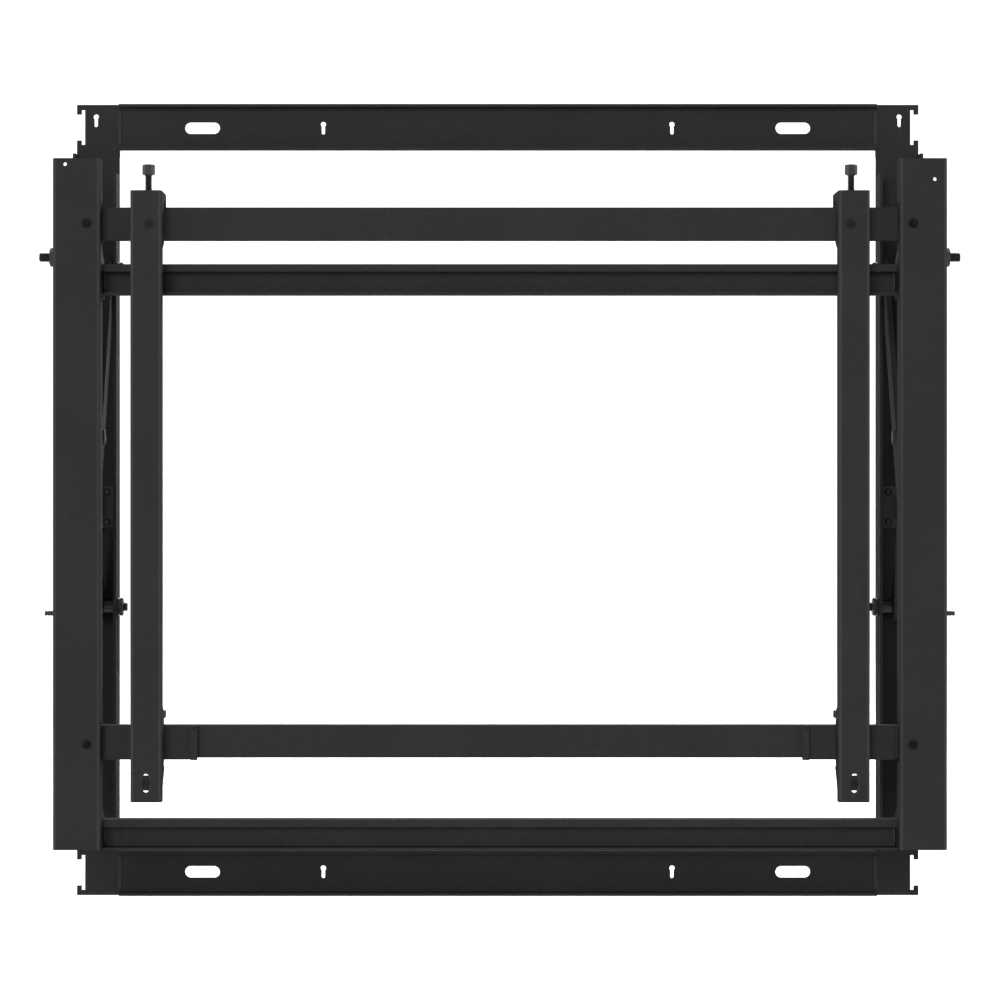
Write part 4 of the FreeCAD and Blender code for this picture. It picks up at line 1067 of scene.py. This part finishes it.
class MOUNT_OT_sheet_metal(Operator):
    """Coat the folded sheet-metal pieces, which keep their shape"""
    bl_idname = "mount.sheet_metal"
    bl_label = "Coat sheet metal"

    plain = (
        "top_wall_rail", "bottom_wall_rail", "upper_cross_rail", "lower_cross_rail",
        "upper_hang_rail", "lower_hang_rail", *both("display_bracket"), *both("upper_hanger"),
        *both("lower_hanger"), "lower_left_rail_stop", "lower_right_rail_stop")

    def track(self, centre, reach, travel=0.0):
        """The place of a washer's track, which runs down from its centre when it slides."""
        return {"depth": centre.y, "height": centre.z - travel / 2, "half_travel": travel / 2,
                "reach": reach}

    def worked_finishes(self):
        """Coats with tracks for the pieces that the pivots and slides rub."""
        reach = size("left_wall_slide_washer").z / 2
        wall_pivot = middle("wall_pivot_bolts", SIDES["left"])
        front_pivot = middle("front_pivot_bolts", SIDES["left"])
        slide = middle("left_wall_slide_bolt")
        centre = middle("left_centre_rivet")
        pin = middle("left_front_slide_pin")
        travel = slide_travel()
        coat_finish("upright_coat", [
            self.track(wall_pivot, reach), self.track(slide, reach, travel)])
        coat_finish("member_coat", [
            self.track(front_pivot, reach), self.track(pin, PIN_REACH * reach, travel)])
        coat_finish("wall_arm_coat", [
            self.track(place, reach) for place in (wall_pivot, centre, pin)], painted_bend=False)
        coat_finish("front_arm_coat", [
            self.track(place, reach) for place in (front_pivot, centre, slide)], painted_bend=False)

    def execute(self, context):
        self.worked_finishes()
        finishes = {node: "plain_coat" for node in self.plain}
        for piece, finish in (("upright", "upright_coat"), ("front_member", "member_coat"),
                              ("wall_arm", "wall_arm_coat"), ("front_arm", "front_arm_coat")):
            finishes.update({node: finish for node in both(piece)})
        for node, finish in finishes.items():
            coat(frame["nodes"][node], finish)
        for node in both("latch_striker"):
            coat(frame["nodes"][node], "latch_coat")
        return {"FINISHED"}


class MOUNT_OT_pivots(Operator):
    """Model the bolts, washers, spacers and nuts of the fixed pivots"""
    bl_idname = "mount.pivots"
    bl_label = "Model pivots"

    def execute(self, context):
        settings = context.scene.mount_pieces
        hole = settings.pivot_diameter / 2 + settings.running_gap
        for node, outward in (("wall_pivot_bolts", False), ("front_pivot_bolts", True)):
            place_copies(hex_bolt(size(node, SIDES["right"])), pair_jobs(node, outward))
        for node, outward in (("wall_pivot_nuts", False), ("front_pivot_nuts", True)):
            box = size(node, SIDES["right"])
            place_copies(hex_nut(box.y, hole, box.x), pair_jobs(node, outward))
        for node, outward in (("wall_pivot_washers", False), ("front_pivot_spacers", True)):
            washer = ring(size(node, SIDES["right"]), hole, settings.edge_break / 2)
            place_copies(washer, pair_jobs(node, outward))
        return {"FINISHED"}


class MOUNT_OT_crossings(Operator):
    """Model the rivets and washers where the arms cross"""
    bl_idname = "mount.crossings"
    bl_label = "Model crossings"

    def execute(self, context):
        settings = context.scene.mount_pieces
        box = size("left_centre_rivet")
        head = box.z / 2
        thick = settings.rivet_head
        shank = settings.pivot_diameter / 2
        rings = profile(RIVET_DOME, head, thick)
        rings += [(shank, thick), (shank, box.x - thick)]
        rings += profile(RIVET_CLENCH, head, -thick, box.x)
        place_copies(turned("rivet", rings), side_jobs("centre_rivet"), "dull_zinc")
        washer = ring(size("left_centre_washer"), shank + settings.running_gap,
                      settings.edge_break)
        place_copies(washer, side_jobs("centre_washer"), "dull_zinc")
        return {"FINISHED"}


class MOUNT_OT_slides(Operator):
    """Model the bolts and pins that run in the slots, with their washers and nuts"""
    bl_idname = "mount.slides"
    bl_label = "Model slides"

    def execute(self, context):
        settings = context.scene.mount_pieces
        edge = settings.edge_break
        shank = settings.pivot_diameter / 2
        hole = shank + settings.running_gap
        bolt = hex_bolt(size("left_wall_slide_bolt"))
        place_copies(bolt, side_jobs("wall_slide_bolt", outward=False))
        box = size("left_wall_slide_nut")
        place_copies(hex_nut(box.y, hole, box.x), side_jobs("wall_slide_nut", outward=False))
        washer = ring(size("left_wall_slide_washer"), hole, edge / 2)
        place_copies(washer, side_jobs("wall_slide_washer", outward=False))
        spacer = ring(size("left_wall_slide_spacer"), hole, edge)
        place_copies(spacer, side_jobs("wall_slide_spacer"))
        box = size("left_front_slide_pin")
        head = box.z / 2
        thick = settings.rivet_head
        tail = settings.pin_tail / 2
        neck = PIN_GROOVE * tail
        start = box.x - settings.pin_tail_length
        groove = box.x - settings.pin_groove
        rings = [(head - edge, 0), (head, edge), (head, thick), (shank, thick),
                 (shank, start - edge), (shank - edge, start), (tail, start), (tail, groove),
                 (neck, groove), (neck, groove + 2 * edge), (tail, groove + 2 * edge),
                 (tail, box.x - edge), (tail - edge, box.x)]
        place_copies(turned("pin", rings), side_jobs("front_slide_pin"))
        return {"FINISHED"}


class MOUNT_OT_depth_screws(Operator):
    """Model the four collared screws that move the hang rails in depth"""
    bl_idname = "mount.depth_screws"
    bl_label = "Model depth screws"

    def execute(self, context):
        settings = context.scene.mount_pieces
        edge = settings.edge_break
        box = size("upper_left_depth_screw")
        shank = settings.pivot_diameter / 2
        collar = box.x / 2
        start = settings.collar_start
        end = start + settings.collar_height
        rings = [(shank - edge, 0), (shank, edge), (shank, start), (collar - edge, start),
                 (collar, start + edge), (collar, end - edge), (collar - edge, end),
                 (shank, end), (shank, end + 2 * edge)]
        screw = socket_screw(settings.pivot_diameter, settings.coarse_pitch, rings, end + edge,
                             box.y, settings.key_size, settings.key_depth)
        nodes = [f"{level}_{side}_depth_screw" for level in ("upper", "lower") for side in SIDES]
        place_copies(screw, front_jobs(*nodes), "dark_steel_painted_shade")
        return {"FINISHED"}


class MOUNT_OT_height_screws(Operator):
    """Model the tall-headed screws that raise and lower the display brackets"""
    bl_idname = "mount.height_screws"
    bl_label = "Model height screws"

    def execute(self, context):
        settings = context.scene.mount_pieces
        edge = settings.edge_break
        box = size("left_height_screw")
        head = settings.height_head
        shank = settings.height_diameter / 2
        body = cut_socket(hex_head(box.y, head, both_ends=True), settings.key_size,
                          settings.key_depth)
        neck = turned("neck", [(shank, head - edge), (shank, head + 2 * edge)])
        rod = thread(settings.height_diameter, settings.height_pitch, head + edge, box.z)
        jobs = []
        for node in both("height_screw"):
            centre = middle(node)
            top = Matrix.Translation((centre.x, centre.y, corners(node)[1].z))
            jobs.append((f"{node}_piece", node, top @ DOWNWARD))
        place_copies(join(body, neck, rod), jobs)
        return {"FINISHED"}


class MOUNT_OT_bracket_screws(Operator):
    """Model the countersunk guide and lock screws of the display brackets, and the guide nuts"""
    bl_idname = "mount.bracket_screws"
    bl_label = "Model bracket screws"

    def execute(self, context):
        settings = context.scene.mount_pieces
        land = settings.edge_break / 3
        for piece, diameter, pitch, key in (
                ("guide_screw", settings.guide_diameter, settings.guide_pitch, settings.guide_key),
                ("lock_screw", settings.lock_diameter, settings.lock_pitch, settings.lock_key)):
            box = size(f"left_{piece}")
            head = box.x / 2
            shank = diameter / 2
            cone = head - shank
            rings = [(head - land, 0), (head, land), (shank, cone), (shank, cone + 2 * land)]
            screw = socket_screw(diameter, pitch, rings, cone + land, box.y, key,
                                 settings.small_key_depth)
            place_copies(screw, front_jobs(*both(piece)), "dark_steel_painted_shade")
        box = size("left_guide_nut")
        hole = settings.guide_diameter / 2 + settings.running_gap
        place_copies(hex_nut(box.z, hole, box.y), front_jobs(*both("guide_nut")))
        return {"FINISHED"}


class MOUNT_OT_latches(Operator):
    """Model the push latches: moulded shell, plate screws and plunger"""
    bl_idname = "mount.latches"
    bl_label = "Model latches"

    def shell(self, name, rod, settings):
        """The housing: a base plate and a body with sunk sides and the plunger's bore."""
        node = f"{name}_latch_housing"
        low, high = corners(node)
        edge = settings.edge_break
        plate_front = high.y - settings.latch_plate
        half = Vector((settings.latch_width / 2, 0, settings.latch_height / 2))
        plate = bevel(block(f"{name}_latch_shell", (low.x, plate_front, low.z), high), edge)
        body = block("body", Vector((rod.x, low.y, rod.z)) - half,
                     Vector((rod.x, plate_front + edge, rod.z)) + half)
        recess(body, 0, settings.latch_margin, settings.latch_recess)
        bevel(body, edge)
        radius = settings.latch_bore / 2
        bore = turned("bore", [(radius + edge + PAST, -PAST), (radius, edge),
                               (radius, settings.latch_bore_depth)])
        bore.data.transform(Matrix.Translation((rod.x, low.y, rod.z)) @ BACKWARD)
        shell = join(plate, combine(body, bore))
        dress(shell, Matrix(), body_of(node), "latch_coat")
        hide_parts(node)

    def plate_screws(self, name, side, rod, settings):
        """Two screws on the part of the plate that shows beside the body."""
        node = f"{name}_latch_housing"
        low, high = corners(node)
        inner = low.x if side > 0 else high.x
        across = (inner + rod.x - side * settings.latch_width / 2) / 2
        head = settings.plate_screw / 2
        rise = settings.plate_screw_rise
        front = high.y - settings.latch_plate - rise
        for level, up in (("lower", -1), ("upper", 1)):
            screw = turned(f"{name}_{level}_latch_plate_screw", profile(PAN_HEAD, head, rise))
            combine(screw, prism(PAN_KEY * head, -PAST, PAN_KEY_DEPTH * rise))
            height = rod.z + up * PLATE_SCREW_HEIGHT * (high.z - low.z)
            dress(screw, Matrix.Translation((across, front, height)) @ BACKWARD, body_of(node),
                  "zinc_plate")

    def execute(self, context):
        settings = context.scene.mount_pieces
        for name, side in SIDES.items():
            rod = middle(f"{name}_latch_plunger")
            self.shell(name, rod, settings)
            self.plate_screws(name, side, rod, settings)
        box = size("left_latch_plunger")
        thick = settings.plunger_cap
        radius = settings.latch_bore / 2 - settings.running_gap
        rings = profile(PLUNGER_CAP, box.z / 2, thick)
        rings += [(radius, thick), (radius, box.y - settings.edge_break),
                  (radius - settings.edge_break, box.y)]
        place_copies(turned("plunger", rings), front_jobs(*both("latch_plunger")),
                     "smooth_nylon")
        return {"FINISHED"}


class MOUNT_OT_welds(Operator):
    """Add the welds at the ends of the rails"""
    bl_idname = "mount.welds"
    bl_label = "Add welds"

    def execute(self, context):
        settings = context.scene.mount_pieces
        for rail, sheet in (
                ("upper_cross_rail", settings.rail_sheet),
                ("lower_cross_rail", settings.rail_sheet),
                ("top_wall_rail", settings.wall_sheet),
                ("bottom_wall_rail", settings.wall_sheet)):
            low, high = corners(rail)
            inset = 2 * sheet
            length = high.z - low.z - 2 * inset
            for side, end in (("left", low.x), ("right", high.x)):
                bead = weld_bead(f"{rail}_{side}_weld", length, settings.weld_size,
                                 settings.weld_pitch)
                foot = Matrix.Translation((end, high.y - sheet, low.z + inset))
                dress(bead, foot, body_of(rail), "plain_coat", WELD_SHARP)
        return {"FINISHED"}


class MOUNT_OT_stage(Operator):
    """Set up the pale floor and backdrop, the soft lights, the world and the camera"""
    bl_idname = "mount.stage"
    bl_label = "Set stage"

    def floor(self, settings):
        """A floor whose far edge is pulled up into a backdrop, with a round sweep between."""
        bpy.ops.object.select_all(action="DESELECT")
        bpy.ops.mesh.primitive_plane_add(
            size=1.0, location=(0, 0, CAD_BOX[0][2] - settings.floor_drop))
        floor = started("floor", (FLOOR_WIDTH, FLOOR_LENGTH, 1))
        for vertex in floor.data.vertices:
            vertex.select = vertex.co.y > 0
        for line in floor.data.edges:
            line.select = all(floor.data.vertices[v].co.y > 0 for v in line.vertices)
        for polygon in floor.data.polygons:
            polygon.select = False
        edit(floor)
        bpy.ops.mesh.extrude_region_move(
            TRANSFORM_OT_translate={"value": (0, 0, BACKDROP_HEIGHT)})
        leave()
        bevel(floor, BACKDROP_SWEEP, SWEEP_STEPS)
        floor.data.materials.append(pale_finish("pale_floor"))

    def lamp(self, name, place, power):
        """A square light, aimed at the middle of the mount."""
        aim = (Vector(CAD_MIDDLE) - Vector(place)).to_track_quat("-Z", "Y")
        bpy.ops.object.light_add(type="AREA", location=place, rotation=aim.to_euler())
        light = bpy.context.active_object
        light.name = name
        light.data.size = LAMP_WIDTH
        light.data.energy = power
        light.visible_camera = False
        return light

    def world(self, context, level):
        """Even light, which the camera and reflections see as plain white."""
        world = bpy.data.worlds.new("even_light")
        world.use_nodes = True
        tree = Tree(world.node_tree)
        mix = tree.add("ShaderNodeMixShader")
        tree.feed(looking_rays(tree), mix.inputs["Fac"])
        for strength, socket in ((level, mix.inputs[1]), (1.0, mix.inputs[2])):
            background = tree.add("ShaderNodeBackground")
            background.inputs["Color"].default_value = (1, 1, 1, 1)
            background.inputs["Strength"].default_value = strength
            tree.feed(background.outputs[0], socket)
        output = tree.add("ShaderNodeOutputWorld")
        tree.feed(mix.outputs[0], output.inputs["Surface"])
        context.scene.world = world

    def camera(self, context, settings):
        face = corners("left_front_member")[0].y
        bpy.ops.object.camera_add(
            location=(settings.camera_side, face - settings.camera_reach, 0),
            rotation=(math.radians(90), 0, 0))
        camera = bpy.context.active_object
        camera.name = "photograph_camera"
        camera.data.lens = settings.lens
        camera.data.shift_x = settings.shift
        context.scene.camera = camera

    def execute(self, context):
        settings = context.scene.mount_stage
        self.floor(settings)
        self.lamp("key_light", KEY_PLACE, settings.key_power).visible_glossy = False
        for side, turn in SIDES.items():
            across, depth, height = SIDE_PLACE
            self.lamp(f"{side}_light", (across * turn, depth, height), settings.side_power)
        self.lamp("back_light", BACK_PLACE, settings.back_power)
        self.world(context, settings.world_level)
        self.camera(context, settings)
        context.scene.view_settings.view_transform = "Standard"
        return {"FINISHED"}


OPERATORS = (
    MOUNT_OT_finishes, MOUNT_OT_sheet_metal, MOUNT_OT_pivots, MOUNT_OT_crossings,
    MOUNT_OT_slides, MOUNT_OT_depth_screws, MOUNT_OT_height_screws, MOUNT_OT_bracket_screws,
    MOUNT_OT_latches, MOUNT_OT_welds, MOUNT_OT_stage)
SETTINGS = {"mount_finish": MountFinish, "mount_pieces": MountPieces, "mount_stage": MountStage}


class MOUNT_PT_panel(Panel):
    """The mount's settings and steps"""
    bl_idname = "MOUNT_PT_panel"
    bl_label = "Video Wall Mount"
    bl_space_type = "VIEW_3D"
    bl_region_type = "UI"
    bl_category = "Mount"

    def draw(self, context):
        for name, group in SETTINGS.items():
            box = self.layout.box()
            for setting in group.__annotations__:
                box.prop(getattr(context.scene, name), setting)
        for operator in OPERATORS:
            self.layout.operator(operator.bl_idname)


def register():
    for item in (*SETTINGS.values(), *OPERATORS, MOUNT_PT_panel):
        bpy.utils.register_class(item)
    for name, group in SETTINGS.items():
        setattr(bpy.types.Scene, name, PointerProperty(type=group))


def unregister():
    for name in SETTINGS:
        delattr(bpy.types.Scene, name)
    for item in reversed((*SETTINGS.values(), *OPERATORS, MOUNT_PT_panel)):
        bpy.utils.unregister_class(item)


def main():
    register()
    for operator in OPERATORS:
        step = getattr(bpy.ops.mount, operator.bl_idname.split(".")[1])
        step()


if __name__ == "__main__":
    main()
